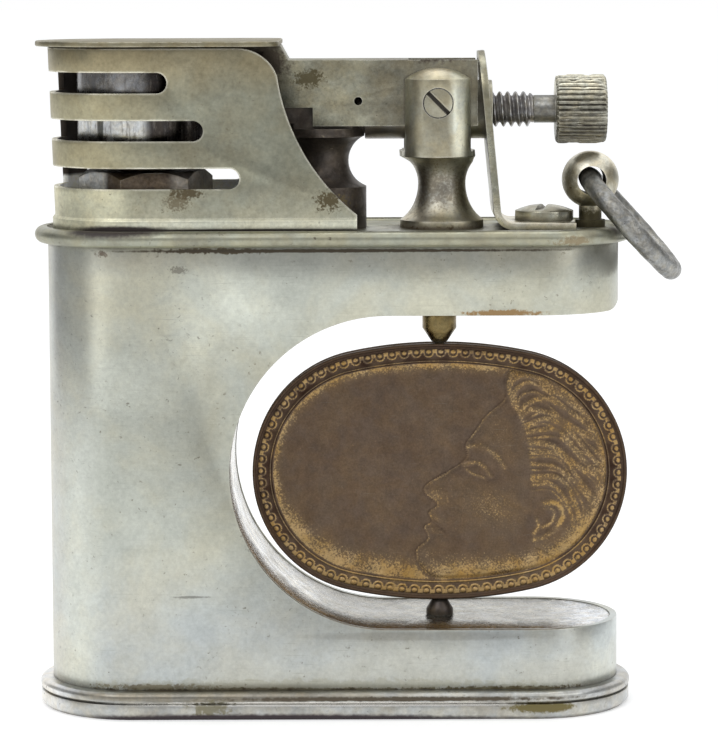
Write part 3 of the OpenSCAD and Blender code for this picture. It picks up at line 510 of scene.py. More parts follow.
def metalFinish(name, changes):
    look = {**plainMetal, **changes}
    material, tree, shader = startMaterial(name)
    shift = len(name)  # gives each finish its own part of the clouds
    cloud = maskOf(tree, "smudge", Size=look["tintSize"], Shift=(shift, 3, 5))
    colour = mixColour(tree, cloud, look["colour"], look["tint"])
    for tone in look["tones"]:
        colour = toneOver(tree, colour, tone)
    rough = mixValue(tree, cloud, *look["rough"])
    scratch = look["scratch"]
    lines = placeGroup(tree, "scratches", Stretch=scratch["stretch"], Density=scratch["density"])
    scratched = maths(tree, "MULTIPLY", lines["Lines"], scratch["show"])
    colour = mixColour(tree, scratched, colour, scratch["colour"])
    if "gilt" in look:
        colour = giltOver(tree, colour, cloud, look["gilt"])
    drift = maskOf(tree, "smudge", Size=look["tintSize"] * 0.7, Low=0.35, High=0.65, Shift=(4, 2, 8))
    colour = vectorMaths(tree, "MULTIPLY", colour, mixColour(tree, drift, look["warm"], look["cool"]))
    mottle = placeGroup(tree, "mottle", Size=look["mottle"]["size"], Depth=look["mottle"]["depth"])
    colour = scaled(tree, colour, mottle["Shade"])
    if look["specks"]["amount"] > 0:
        colour = specksOver(tree, colour, look["specks"], shift)
    # Rounded edges take the edge colour: worn metal, and where that colour is pale, a painted highlight
    edge = look["edge"]
    worn = maskOf(tree, "edgeWearAndHighlight", Radius=edge["radius"], Amount=edge["amount"], Fleck=edge["fleck"])
    colour = mixColour(tree, worn, colour, edge["colour"])
    rough = mixValue(tree, worn, rough, edge.get("rough", wornRough))
    # Hollows darken: grime and painted shade
    grimeAndShade = look["grimeAndShade"]
    dulled = maskOf(tree, "crevice", Reach=grimeAndShade["reach"], Amount=grimeAndShade["amount"], Fleck=grimeAndShade["fleck"])
    colour = mixColour(tree, dulled, colour, grimeAndShade["colour"])
    rough = mixValue(tree, dulled, rough, grimeAndShadeRough)
    for spot in look["stainsAndPaintedLight"]:
        mask = maskOf(tree, "stainAndPaintedLight", **spot["shape"])
        colour = mixColour(tree, mask, colour, spot["colour"])
        rough = mixValue(tree, mask, rough, spot["rough"])
        if spot["dull"] > 0:
            dulled = maths(tree, "MAXIMUM", dulled, maths(tree, "MULTIPLY", mask, spot["dull"]))
    taken = maths(tree, "MULTIPLY", dulled, grimeAndShadeDulls)
    feed(tree, colour, shader["Base Color"])
    feed(tree, rough, shader["Roughness"])
    feed(tree, maths(tree, "SUBTRACT", look["metallic"], taken, clamp=True), shader["Metallic"])
    bumpOn(tree, shader, metalRelief(tree, look, lines["Height"]))
    return material


def softFinish(name, look):
    material, tree, shader = startMaterial(name)
    cloud = maskOf(tree, "smudge", Size=look["tintSize"], Shift=(len(name), 1, 2))
    colour = mixColour(tree, cloud, look["colour"], look["tint"])
    # Hollows darken: grime and painted shade
    grimeAndShadeMask = maskOf(tree, "crevice", Reach=0.5, Amount=0.7, Fleck=2.0)
    colour = mixColour(tree, grimeAndShadeMask, colour, look["grimeAndShade"])
    strands = placeGroup(tree, "scratches", Stretch=look["stretch"], Density=0.6, Wander=1.2)
    colour = mixColour(tree, maths(tree, "MULTIPLY", strands["Lines"], 0.5), colour, look["grimeAndShade"])
    feed(tree, colour, shader["Base Color"])
    feed(tree, mixValue(tree, cloud, look["rough"], look["rough"] + 0.12), shader["Roughness"])
    bumpOn(tree, shader, maths(tree, "MULTIPLY", strands["Height"], look["depth"]))
    return material


# Finishes, one for each kind of surface on the real thing

finishes = {
    "satinNickel": {
        "colour": (0.5, 0.505, 0.43), "tint": (0.45, 0.455, 0.385), "tintSize": 11.0, "rough": (0.3, 0.38),
        "tones": [
            toneAlong("Z", 14.0, 4.0, (0.49, 0.51, 0.495), 0.85),
            toneRound((-13.0, -6.0, 28.0), (11.0, 40.0, 8.0), (0.66, 0.665, 0.56)),
            toneRound((-6.2, -6.0, 20.0), (5.0, 40.0, 9.0), (0.41, 0.415, 0.355), 0.8),
            toneAlong("Z", 30.2, 32.2, (0.38, 0.375, 0.325), 0.7),
            toneAlong("X", -15.4, -17.8, (0.64, 0.645, 0.56), 0.9),
            toneAlong("X", -18.0, -19.6, (0.56, 0.56, 0.51), 0.9),
            toneRound((19.8, -3.0, 6.0), (3.0, 9.0, 9.0), (0.58, 0.6, 0.56)),
            # painted shadow below the window's lower edge
            toneRound((6.0, -6.2, 5.7), (11.0, 1.0, 0.4), (0.37, 0.37, 0.34), 0.7),
        ],
        "waves": {"size": 9.0, "depth": 0.006},
        "scratch": {
            "stretch": (0.1, 0.5, 8.0), "density": 0.6, "depth": 0.005, "colour": (0.25, 0.25, 0.21),
            "show": 0.5,
        },
        "specks": {"size": 0.34, "amount": 0.7, "colour": (0.14, 0.12, 0.09)},
        "grimeAndShade": {"colour": (0.1, 0.09, 0.07), "reach": 0.35, "amount": 0.75, "fleck": 1.2},
        "stainsAndPaintedLight": [
            stainAndPaintedLight((11.6, -6.0, 28.15), (3.2, 1.2, 0.3), (0.3, 0.2, 0.1), fleck=3.6, rough=0.45),
            stainAndPaintedLight((-8.3, -6.0, 32.5), (4.4, 1.0, 0.22), (0.12, 0.1, 0.07), ragged=0.8, fleck=2.6),
            stainAndPaintedLight((0.0, -6.0, 32.5), (20.0, 1.2, 0.15), (0.1, 0.085, 0.065), ragged=0.3, fleck=1.3),
            stainAndPaintedLight(
                (-15.8, -5.0, 32.3), (0.6, 2.0, 0.25), (0.16, 0.12, 0.09),
                ragged=0.8, fleck=4.5, amount=0.8,
            ),
            stainAndPaintedLight((-10.5, -6.0, 31.2), (0.7, 1.0, 0.3), (0.2, 0.19, 0.16), ragged=1.0, fleck=5.0, amount=0.8),
            stainAndPaintedLight((-3.0, -6.0, 1.98), (18.0, 1.5, 0.16), (0.09, 0.075, 0.05), ragged=0.8, fleck=2.2),
            stainAndPaintedLight((12.0, -6.0, 2.02), (6.5, 1.5, 0.2), (0.12, 0.1, 0.06), ragged=0.9, fleck=3.0),
            stainAndPaintedLight((-12.5, -5.8, 2.2), (5.0, 1.5, 0.22), (0.2, 0.17, 0.11), ragged=0.9, fleck=3.0, amount=0.8),
            stainAndPaintedLight(
                (-1.0, -6.0, 2.3), (19.5, 1.5, 0.5), (0.36, 0.34, 0.24),
                ragged=0.9, fleck=1.6, amount=0.35, rough=0.4,
            ),
            stainAndPaintedLight((19.2, -3.5, 31.4), (1.4, 4.0, 1.3), (0.34, 0.34, 0.3), fleck=1.2, amount=0.6),
            stainAndPaintedLight((-9.9, -6.0, 8.5), (1.6, 1.0, 0.12), (0.2, 0.2, 0.18), ragged=0.3, fleck=2.4, amount=0.7),
        ],
    },
    "brightLining": {
        "colour": (0.84, 0.83, 0.79), "tint": (0.56, 0.54, 0.49), "tintSize": 1.1, "rough": (0.18, 0.34),
        "pits": {"size": 0.24, "depth": 0.04},
        "mottle": {"size": 0.2, "depth": 0.42},
        # pale rounded edges: a painted highlight along the lining's edges
        "edge": {"colour": (1.0, 0.99, 0.95), "radius": 0.16, "amount": 1.3, "fleck": 0.5, "rough": 0.2},
        "tones": [
            toneAlong("Z", 8.2, 6.5, (0.42, 0.41, 0.37)),
            toneAlong("X", 14.5, 18.0, (0.78, 0.79, 0.8)),
            toneRound((3.0, -5.0, 6.2), (9.0, 1.4, 1.4), (0.16, 0.135, 0.115), 0.7),
        ],
        "stainsAndPaintedLight": [
            # painted highlight: a bright line along the lining's lower edge
            stainAndPaintedLight((8.0, -6.0, 6.15), (13.0, 0.42, 1.2), (1.0, 0.99, 0.95), ragged=0.2, rough=0.2),
        ],
        "scratch": {**plainMetal["scratch"], "show": 0.6},
        "grimeAndShade": {"colour": (0.12, 0.1, 0.08), "reach": 0.2, "amount": 0.35, "fleck": 1.6},
    },
    "deckNickel": {
        "colour": (0.36, 0.36, 0.28), "tint": (0.29, 0.28, 0.215), "tintSize": 3.0, "rough": (0.34, 0.48),
        "specks": {"size": 0.4, "amount": 0.8, "colour": (0.1, 0.08, 0.06)},
        "edge": {"colour": (0.66, 0.65, 0.55), "radius": 0.12, "amount": 0.6, "fleck": 1.0},
        "tones": [
            # painted highlight along the lower edge of the deck's lip
            toneAlong("Z", 32.8, 32.55, (0.72, 0.71, 0.58), 0.8),
        ],
        "stainsAndPaintedLight": [
            # painted shadow at the guard's foot, along the front and round the left end
            stainAndPaintedLight(
                (-15.0, -6.0, 34.1), (5.2, 1.9, 0.92), (0.046, 0.036, 0.033),
                ragged=0.1, fleck=3.0, dull=0.9,
            ),
            stainAndPaintedLight((-5.0, -5.9, 33.68), (13.0, 0.5, 0.24), (0.03, 0.022, 0.02), ragged=0.06, dull=0.9),
            stainAndPaintedLight((-8.6, -6.8, 32.62), (3.8, 0.7, 0.2), (0.2, 0.15, 0.07), ragged=0.7, fleck=4.0),
            stainAndPaintedLight((-9.0, -6.8, 32.6), (3.2, 0.7, 0.14), (0.5, 0.48, 0.42), ragged=0.7, fleck=5.0),
            stainAndPaintedLight((16.6, -6.6, 33.1), (1.6, 1.0, 0.4), (0.24, 0.17, 0.09), ragged=0.9, fleck=4.0, amount=0.6),
            stainAndPaintedLight((7.3, 0.0, 33.65), (4.4, 4.6, 0.3), (0.12, 0.1, 0.07), amount=0.7),
        ],
    },
    "baseNickel": {
        "colour": (0.5, 0.5, 0.47), "tint": (0.38, 0.37, 0.34), "tintSize": 2.2, "rough": (0.28, 0.42),
        "mottle": {"size": 0.3, "depth": 0.18},
        "specks": {"size": 0.4, "amount": 0.9, "colour": (0.08, 0.06, 0.05)},
        "grimeAndShade": {"colour": (0.1, 0.085, 0.07), "reach": 0.25, "amount": 0.5, "fleck": 1.6},
        "tones": [
            toneAlong("X", -17.5, -20.0, (0.82, 0.81, 0.78)),
            toneAlong("X", 17.5, 20.0, (0.54, 0.54, 0.52)),
            toneRound((-8.0, -6.5, 1.66), (15.0, 2.0, 0.5), (0.2, 0.175, 0.13), 0.75),
        ],
        "stainsAndPaintedLight": [
            stainAndPaintedLight((4.0, -6.5, 1.5), (16.0, 1.2, 0.22), (0.11, 0.09, 0.065), ragged=0.35, fleck=1.8, dull=0.4),
            # painted highlight along the bead
            stainAndPaintedLight((0.0, -6.9, 1.14), (21.0, 1.2, 0.2), (0.9, 0.89, 0.86), ragged=0.15, fleck=1.4, rough=0.16),
            stainAndPaintedLight((14.5, -6.8, 0.85), (3.2, 1.2, 0.45), (0.2, 0.17, 0.08), ragged=0.35, fleck=3.2),
            stainAndPaintedLight((-8.5, -6.8, 0.8), (1.6, 1.2, 0.6), (0.22, 0.2, 0.12), ragged=0.9, fleck=3.0, amount=0.8),
            # painted shadow where the base meets the floor
            stainAndPaintedLight((-5.0, -6.9, 0.0), (22.0, 1.4, 0.56), (0.06, 0.045, 0.05), ragged=0.12, dull=0.5),
        ],
    },
    "guardNickel": {
        "colour": (0.265, 0.265, 0.205), "tint": (0.22, 0.21, 0.155), "tintSize": 3.6, "rough": (0.38, 0.5),
        "mottle": {"size": 0.3, "depth": 0.2},
        "tones": [
            toneAlong("X", -9.0, -18.5, (0.38, 0.345, 0.225)),
            toneAlong("Z", 42.6, 46.0, (0.29, 0.25, 0.155), 0.8),
            toneAlong("Z", 37.6, 34.8, (0.48, 0.475, 0.375), 0.8),
            toneAlong("Z", 34.7, 34.3, (0.8, 0.8, 0.66), 0.8),
            toneRound((-17.5, -3.0, 35.5), (5.0, 9.0, 2.5), (0.62, 0.6, 0.44)),
        ],
        "waves": {"size": 8.0, "depth": 0.004},
        "warm": (1.02, 1.0, 0.96),
        "cool": (0.98, 1.0, 1.02),
        "specks": {"size": 0.3, "amount": 0.6, "colour": (0.12, 0.1, 0.07)},
        # painted highlights along the guard's edges
        "edge": {"colour": (0.95, 0.93, 0.8), "radius": 0.26, "amount": 1.6, "fleck": 0.5, "rough": 0.2},
        "stainsAndPaintedLight": [
            stainAndPaintedLight(
                (-9.9, -5.7, 36.45), (1.35, 0.8, 0.45), (0.09, 0.07, 0.035),
                ragged=0.8, fleck=5.0, dull=0.8,
            ),
            stainAndPaintedLight(
                (-10.6, -5.7, 35.8), (1.0, 0.6, 0.7), (0.12, 0.09, 0.045),
                ragged=0.9, fleck=6.0, amount=0.7, dull=0.5,
            ),
            stainAndPaintedLight((-0.2, -5.7, 35.9), (1.1, 0.8, 0.75), (0.1, 0.08, 0.04), ragged=0.8, fleck=4.5, dull=0.6),
            # painted shadow at the guard's foot, along the front and round the left end
            stainAndPaintedLight((-5.0, -5.9, 33.82), (13.5, 1.6, 0.22), (0.03, 0.024, 0.02), ragged=0.05, dull=0.9),
            stainAndPaintedLight(
                (-14.5, -5.5, 33.8), (4.4, 3.0, 0.5), (0.046, 0.036, 0.033),
                ragged=0.1, fleck=3.0, dull=0.9,
            ),
        ],
    },
    # painted shade for the inside of the guard and the cup, with a painted reflection low on the guard's back
    # wall
    "sootyInside": {
        "colour": (0.05, 0.042, 0.036), "tint": (0.085, 0.07, 0.06), "tintSize": 2.4, "rough": (0.5, 0.75),
        "tones": [
            # painted reflection of the pale surroundings low on the inside of the guard
            toneAlong("Z", 37.4, 37.1, (1.0, 1.0, 0.96)),
        ],
        "edge": {"colour": (0.12, 0.1, 0.08), "radius": 0.08, "amount": 0.5, "fleck": 2.0},
        "grimeAndShade": {"colour": (0.06, 0.05, 0.04), "reach": 0.3, "amount": 0.5, "fleck": 2.0},
    },
    "lidNickel": {
        "colour": (0.27, 0.245, 0.165), "tint": (0.22, 0.19, 0.12), "tintSize": 1.8, "rough": (0.42, 0.55),
        "mottle": {"size": 0.3, "depth": 0.2},
        "specks": {"size": 0.3, "amount": 0.8, "colour": (0.12, 0.08, 0.05)},
    },
    "armNickel": {
        "colour": (0.29, 0.28, 0.21), "tint": (0.235, 0.22, 0.16), "tintSize": 2.0, "rough": (0.4, 0.55),
        "pits": {"size": 0.18, "depth": 0.02},
        "mottle": {"size": 0.22, "depth": 0.28},
        "specks": {"size": 0.26, "amount": 0.9, "colour": (0.07, 0.055, 0.04)},
        "tones": [
            toneAlong("X", 1.8, 3.6, (0.1, 0.085, 0.065), 0.45),
        ],
        "stainsAndPaintedLight": [
            stainAndPaintedLight(
                (-1.6, -2.8, 44.15), (1.15, 0.8, 0.75), (0.09, 0.075, 0.04),
                ragged=0.7, fleck=4.6, amount=0.9,
            ),
            # painted shadow on the arm under the lid
            stainAndPaintedLight((-5.0, -2.8, 45.3), (2.3, 3.0, 2.2), (0.09, 0.075, 0.058), ragged=0.4, fleck=2.2),
            stainAndPaintedLight((6.9, -2.8, 46.0), (3.4, 2.0, 0.9), (0.07, 0.055, 0.045), ragged=0.4, fleck=3.0),
            stainAndPaintedLight((-5.0, -2.8, 42.6), (1.5, 2.0, 2.4), (0.12, 0.1, 0.08), ragged=0.4, fleck=3.0, amount=0.7),
            stainAndPaintedLight((-5.2, -2.8, 40.9), (1.6, 2.0, 1.0), (0.09, 0.075, 0.06), fleck=1.6),
        ],
    },
    "pillarNickel": {
        "colour": (0.38, 0.355, 0.265), "tint": (0.31, 0.285, 0.21), "tintSize": 2.2, "rough": (0.34, 0.44),
        "mottle": {"size": 0.26, "depth": 0.18},
        "tones": [
            toneAlong("Z", 38.6, 38.0, (0.4, 0.38, 0.32), 0.9),
            toneAlong("Z", 35.6, 34.6, (0.62, 0.58, 0.47), 0.9),
            # painted highlights on the top of the dome and the sides of the ears
            toneAlong("Z", 44.2, 44.9, (0.78, 0.7, 0.52), 0.9),
            toneRound((9.4, -3.0, 42.0), (1.7, 4.0, 6.0), (0.76, 0.76, 0.63)),
            toneRound((5.0, -3.0, 42.0), (0.8, 4.0, 6.0), (0.6, 0.58, 0.46)),
        ],
        "specks": {"size": 0.3, "amount": 0.7, "colour": (0.12, 0.08, 0.05)},
        "grimeAndShade": {"colour": (0.08, 0.05, 0.03), "reach": 0.8, "amount": 0.8, "fleck": 3.0},
        "stainsAndPaintedLight": [
            stainAndPaintedLight((7.3, 0.0, 33.75), (3.4, 3.6, 0.3), (0.13, 0.09, 0.05), fleck=3.0),
            stainAndPaintedLight(
                (7.3, 0.0, 36.4), (2.8, 2.9, 2.2), (0.13, 0.095, 0.065),
                ragged=1.0, fleck=5.0, amount=0.45,
            ),
        ],
    },
    "darkPost": {
        "colour": (0.09, 0.075, 0.062), "tint": (0.05, 0.04, 0.033), "tintSize": 1.4, "rough": (0.4, 0.6),
        "metallic": 0.8,
        "specks": {"size": 0.3, "amount": 0.8, "colour": (0.26, 0.22, 0.16)},
        "edge": {"colour": (0.35, 0.31, 0.25), "radius": 0.1, "amount": 0.5, "fleck": 2.0},
        "mottle": {"size": 0.24, "depth": 0.3},
        "stainsAndPaintedLight": [
            stainAndPaintedLight(
                (-0.8, -2.6, 35.4), (2.2, 1.4, 0.9), (0.15, 0.115, 0.05),
                ragged=0.8, fleck=4.0, amount=0.7,
            ),
        ],
    },
    "leafSteel": {
        "colour": (0.32, 0.31, 0.24), "tint": (0.225, 0.21, 0.15), "tintSize": 1.6, "rough": (0.26, 0.4),
        "mottle": {"size": 0.3, "depth": 0.25},
        "tones": [
            toneAlong("Z", 35.6, 34.4, (0.66, 0.62, 0.5)),
            toneAlong("Z", 45.0, 46.6, (0.24, 0.22, 0.16)),
        ],
    },
    "screwNickel": {
        "colour": (0.42, 0.41, 0.33), "tint": (0.32, 0.3, 0.24), "tintSize": 1.2, "rough": (0.26, 0.42),
    },
    "knobSteel": {
        "colour": (0.36, 0.345, 0.28), "tint": (0.23, 0.21, 0.155), "tintSize": 1.0, "rough": (0.3, 0.44),
        "mottle": {"size": 0.34, "depth": 0.5},
        "tones": [
            # painted light on the top of the knob and painted shade underneath
            toneAlong("Z", 42.0, 44.0, (0.55, 0.53, 0.43)),
            toneAlong("Z", 41.6, 40.4, (0.19, 0.18, 0.145)),
        ],
        "specks": {"size": 0.34, "amount": 1.0, "colour": (0.05, 0.04, 0.03)},
        "grimeAndShade": {"colour": (0.05, 0.04, 0.035), "reach": 0.28, "amount": 1.0, "fleck": 2.0},
        # painted highlights on the ridges' edges
        "edge": {"colour": (0.8, 0.78, 0.68), "radius": 0.07, "amount": 1.0, "fleck": 1.6},
    },
    "threadSteel": {
        "colour": (0.34, 0.33, 0.32), "tint": (0.2, 0.19, 0.19), "tintSize": 0.9, "rough": (0.28, 0.44),
        "mottle": {"size": 0.3, "depth": 0.4},
        "grimeAndShade": {"colour": (0.03, 0.025, 0.025), "reach": 0.25, "amount": 0.9, "fleck": 2.0},
        "edge": {"colour": (0.5, 0.5, 0.48), "radius": 0.06, "amount": 0.8, "fleck": 1.2},
    },
    "neckSteel": {
        "colour": (0.25, 0.245, 0.225), "tint": (0.15, 0.145, 0.13), "tintSize": 0.8, "rough": (0.32, 0.46),
        "mottle": {"size": 0.2, "depth": 0.3},
    },
    "tubeSteel": {
        "colour": (0.4, 0.39, 0.31), "tint": (0.28, 0.26, 0.2), "tintSize": 1.4, "rough": (0.3, 0.45),
        "tones": [
            toneAlong("X", 8.0, 4.0, (0.28, 0.255, 0.24)),
        ],
    },
    "ballNickel": {
        "colour": (0.5, 0.47, 0.37), "tint": (0.36, 0.33, 0.25), "tintSize": 1.2, "rough": (0.32, 0.44),
        "mottle": {"size": 0.24, "depth": 0.25},
        "tones": [
            # painted highlight on top of the ball, painted shade on its left side
            toneAlong("Z", 37.4, 38.6, (0.95, 0.9, 0.74), 0.85),
            toneAlong("X", 17.2, 16.2, (0.3, 0.28, 0.22), 0.8),
        ],
        "specks": {"size": 0.24, "amount": 0.9, "colour": (0.12, 0.09, 0.05)},
        "stainsAndPaintedLight": [
            stainAndPaintedLight((18.04, 0.0, 34.0), (2.6, 2.6, 1.3), (0.08, 0.07, 0.04), ragged=0.25, fleck=3.4),
            stainAndPaintedLight((16.5, -1.0, 36.1), (0.9, 1.6, 1.7), (0.12, 0.1, 0.06), ragged=0.8, fleck=3.4, amount=0.45),
        ],
    },
    "ringSteel": {
        "colour": (0.32, 0.318, 0.3), "tint": (0.19, 0.187, 0.175), "tintSize": 0.8, "rough": (0.34, 0.5),
        "pits": {"size": 0.24, "depth": 0.05},
        "mottle": {"size": 0.2, "depth": 0.35},
        "specks": {"size": 0.3, "amount": 1.0, "colour": (0.06, 0.05, 0.045)},
    },
    "agedBronze": {
        "colour": (0.115, 0.08, 0.056), "tint": (0.15, 0.105, 0.07), "tintSize": 2.0, "rough": (0.4, 0.55),
        "mottle": {"size": 0.13, "depth": 0.22},
        "gilt": {
            "colour": (0.42, 0.29, 0.14), "tint": (0.4, 0.25, 0.085), "hollow": (0.035, 0.018, 0.012),
            "fleck": 0.13,
        },
        "grimeAndShade": {"colour": (0.03, 0.019, 0.015), "reach": 0.3, "amount": 0.9, "fleck": 1.2},
        "edge": {"colour": (0.3, 0.2, 0.09), "radius": 0.06, "amount": 0.3, "fleck": 2.0},
    },
    "wornBrass": {
        "colour": (0.2, 0.15, 0.065), "tint": (0.12, 0.09, 0.04), "tintSize": 0.9, "rough": (0.24, 0.4),
        "specks": {"size": 0.24, "amount": 0.8, "colour": (0.05, 0.04, 0.03)},
    },
    "darkPin": {
        "colour": (0.06, 0.05, 0.045), "tint": (0.1, 0.08, 0.06), "tintSize": 0.7, "rough": (0.35, 0.55),
    },
    "brightCup": {
        "colour": (0.42, 0.42, 0.42), "tint": (0.2, 0.19, 0.19), "tintSize": 0.9, "rough": (0.2, 0.34),
        "mottle": {"size": 0.4, "depth": 0.3},
        "scratch": {
            "stretch": (2.4, 2.4, 0.3), "density": 1.0, "depth": 0.01, "colour": (0.12, 0.11, 0.1),
            "show": 0.55,
        },
        "tones": [
            toneAlong("Z", 41.9, 41.2, (0.5, 0.5, 0.48)),
            toneRound((-15.95, -3.0, 41.0), (0.3, 4.0, 1.6), (0.08, 0.08, 0.07)),
            toneAlong("Z", 42.3, 43.2, (0.16, 0.155, 0.15), 0.7),
            # painted shadow on the right of the cup
            toneAlong("X", -13.3, -12.3, (0.04, 0.035, 0.033)),
        ],
    },
    "burnerNickel": {
        "colour": (0.16, 0.125, 0.09), "tint": (0.09, 0.07, 0.055), "tintSize": 1.2, "rough": (0.35, 0.5),
        "mottle": {"size": 0.3, "depth": 0.4},
        "tones": [
            # painted highlight on the left of the nut, painted shade on its right
            toneAlong("X", -15.4, -15.9, (0.72, 0.71, 0.67)),
            toneAlong("X", -11.4, -10.6, (0.3, 0.27, 0.23)),
        ],
    },
    "wheelSteel": {
        "colour": (0.3, 0.29, 0.28), "tint": (0.16, 0.15, 0.14), "tintSize": 0.8, "rough": (0.3, 0.45),
    },
    "springSteel": {
        "colour": (0.5, 0.5, 0.5), "tint": (0.38, 0.37, 0.36), "tintSize": 0.8, "rough": (0.2, 0.32),
    },
    "flintGrey": {
        "colour": (0.14, 0.13, 0.13), "tint": (0.2, 0.19, 0.18), "tintSize": 0.5, "rough": (0.5, 0.7),
        "metallic": 0.6,
    },
    "inkyLine": {
        "colour": (0.02, 0.017, 0.014), "tint": (0.035, 0.03, 0.024), "tintSize": 0.6, "rough": (0.6, 0.8),
        "metallic": 0.2,
    },
}

softFinishes = {
    "cottonWool": {
        "colour": (0.74, 0.7, 0.62), "tint": (0.6, 0.55, 0.46), "tintSize": 2.0, "rough": 0.8,
        "grimeAndShade": (0.35, 0.3, 0.24), "stretch": (1.2, 1.2, 1.6), "depth": 0.12,
    },
    "wickCotton": {
        "colour": (0.66, 0.62, 0.54), "tint": (0.42, 0.38, 0.32), "tintSize": 1.2, "rough": 0.78,
        "grimeAndShade": (0.1, 0.08, 0.07), "stretch": (6.0, 6.0, 1.0), "depth": 0.05,
    },
    "sealRubber": {
        "colour": (0.03, 0.03, 0.03), "tint": (0.05, 0.048, 0.045), "tintSize": 1.0, "rough": 0.5,
        "grimeAndShade": (0.1, 0.09, 0.08), "stretch": (2.0, 2.0, 2.0), "depth": 0.01,
    },
}

materials = {name: metalFinish(name, look) for name, look in finishes.items()}
materials.update({name: softFinish(name, look) for name, look in softFinishes.items()})
print(len(materials), "materials ready")


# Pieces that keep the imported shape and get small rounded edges, as stamped and turned metal has

meshTidy = {"merge": 0.0004, "flat": 0.4}  # mm and degrees
roundSteps = 2
roundFrom = 35  # degrees: edges that turn less than this stay as they are


def settle(piece, node, finish=None):
    if finish:
        piece.data.materials.clear()
        piece.data.materials.append(materials[finish])
    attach(piece, frame["nodes"][node]["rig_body"])
    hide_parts(node)
    return piece


def keptShape(name, node):
    mesh = bpy.data.meshes.new(name)
    body = bmesh.new()
    body.from_mesh(frame["nodes"][node].data)
    bmesh.ops.scale(body, vec=toMm, verts=body.verts)
    bmesh.ops.remove_doubles(body, verts=body.verts, dist=meshTidy["merge"])
    flat = math.radians(meshTidy["flat"])
    bmesh.ops.dissolve_limit(body, angle_limit=flat, verts=body.verts, edges=body.edges)
    body.to_mesh(mesh)
    body.free()
    return added(name, mesh)


def applyModifiers(piece):
    bpy.context.view_layer.update()
    done = bpy.data.meshes.new_from_object(piece.evaluated_get(bpy.context.evaluated_depsgraph_get()))
    piece.modifiers.clear()
    piece.data = done


def shadeSmoothly(piece, angle=38):
    piece.data.shade_smooth()
    body = bmesh.new()
    body.from_mesh(piece.data)
    for edge in body.edges:
        if len(edge.link_faces) == 2 and edge.calc_face_angle(0) > math.radians(angle):
            edge.smooth = False
    body.to_mesh(piece.data)
    body.free()


def softened(name, node, width):
    piece = keptShape(name, node)
    rounder = piece.modifiers.new("rounder", "BEVEL")
    rounder.width = width
    rounder.segments = roundSteps
    rounder.limit_method = "ANGLE"
    rounder.angle_limit = math.radians(roundFrom)
    rounder.use_clamp_overlap = True
    rounder.harden_normals = False
    applyModifiers(piece)
    shadeSmoothly(piece)
    piece.data.transform(toMetres)
    return piece


softPieces = {
    "tankShell": {"node": "outer_shell", "edge": 0.1, "finish": "satinNickel"},
    "windowLining": {"node": "cutout_liner", "edge": 0.08, "finish": "brightLining"},
    "deckPlate": {"node": "deck_plate", "edge": 0.08, "finish": "deckNickel"},
    "baseCap": {"node": "base_cap", "edge": 0.08, "finish": "baseNickel"},
    "fillerScrew": {"node": "filler_screw", "edge": 0.05, "finish": "deckNickel"},
    "fillerGasket": {"node": "filler_gasket", "edge": 0.1, "finish": "sealRubber"},
    "burnerNut": {"node": "burner", "edge": 0.06, "finish": "burnerNickel"},
    "windGuard": {"node": "windguard", "edge": 0.15, "finish": "guardNickel"},
    "wheelPost": {"node": "wheel_post", "edge": 0.06, "finish": "darkPost"},
    "sparkWheel": {"node": "spark_wheel", "edge": 0.03, "finish": "wheelSteel"},
    "wheelAxle": {"node": "wheel_axle", "edge": 0.05, "finish": "springSteel"},
    "flintTube": {"node": "flint_tube", "edge": 0.06, "finish": "tubeSteel"},
    "flintRod": {"node": "flint", "edge": 0.06, "finish": "flintGrey"},
    "springPin": {"node": "spring_pin", "edge": 0.05, "finish": "wornBrass"},
    "pivotPillar": {"node": "pivot_pillar", "edge": 0.1, "finish": "pillarNickel"},
    "pivotScrews": {"node": "pivot_screws", "edge": 0.07, "finish": "pillarNickel"},
    "liftArm": {"node": "lift_arm", "edge": 0.1, "finish": "armNickel"},
    "lidPlate": {"node": "lid_plate", "edge": 0.1, "finish": "lidNickel"},
    "snufferCup": {"node": "snuffer_cup", "edge": 0.08, "finish": "brightCup"},
    "leafSpring": {"node": "leaf_spring", "edge": 0.06, "finish": "leafSteel"},
    "springScrew": {"node": "spring_screw", "edge": 0.06, "finish": "screwNickel"},
    "ballStud": {"node": "ball_stud", "edge": 0.08, "finish": "ballNickel"},
    "upperPin": {"node": "upper_pin", "edge": 0.06, "finish": "wornBrass"},
    "lowerPin": {"node": "lower_pin", "edge": 0.06, "finish": "darkPin"},
}

for pieceName, plan in softPieces.items():
    settle(softened(pieceName + "Piece", plan["node"], plan["edge"]), plan["node"], plan["finish"])
print(len(softPieces), "pieces softened")

# The spool under the yoke stands a little to the right of it, and its foot flares late
spoolPlan = {"shift": 0.33, "collar": (38.2, 38.7), "waist": 36.75, "footTop": (34.69, 34.19), "seat": 33.65}


def reshapeSpool(piece, plan):
    seat, waist = plan["seat"], plan["waist"]
    low, high = plan["collar"]
    oldTop, newTop = plan["footTop"]
    for vertex in piece.data.vertices:
        x, y, z = vertex.co / mm
        if z < seat - 0.001 or z > high:
            continue
        x += plan["shift"] * (1 - max(0, (z - low) / (high - low)))
        if z < oldTop:
            z = seat + (z - seat) * (newTop - seat) / (oldTop - seat)
        elif z < waist:
            z = waist - (waist - z) * (waist - newTop) / (waist - oldTop)
        vertex.co = Vector((x, y, z)) * mm


reshapeSpool(bpy.data.objects["pivotPillarPiece"], spoolPlan)


def sizesOf(node):
    low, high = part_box(node)
    return Vector(low) / mm, Vector(high) / mm


# Faces of a piece that differ from its outside: painted shade inside the guard and the cup, with a painted
# reflection low in the guard, and painted shade in the screws' slots

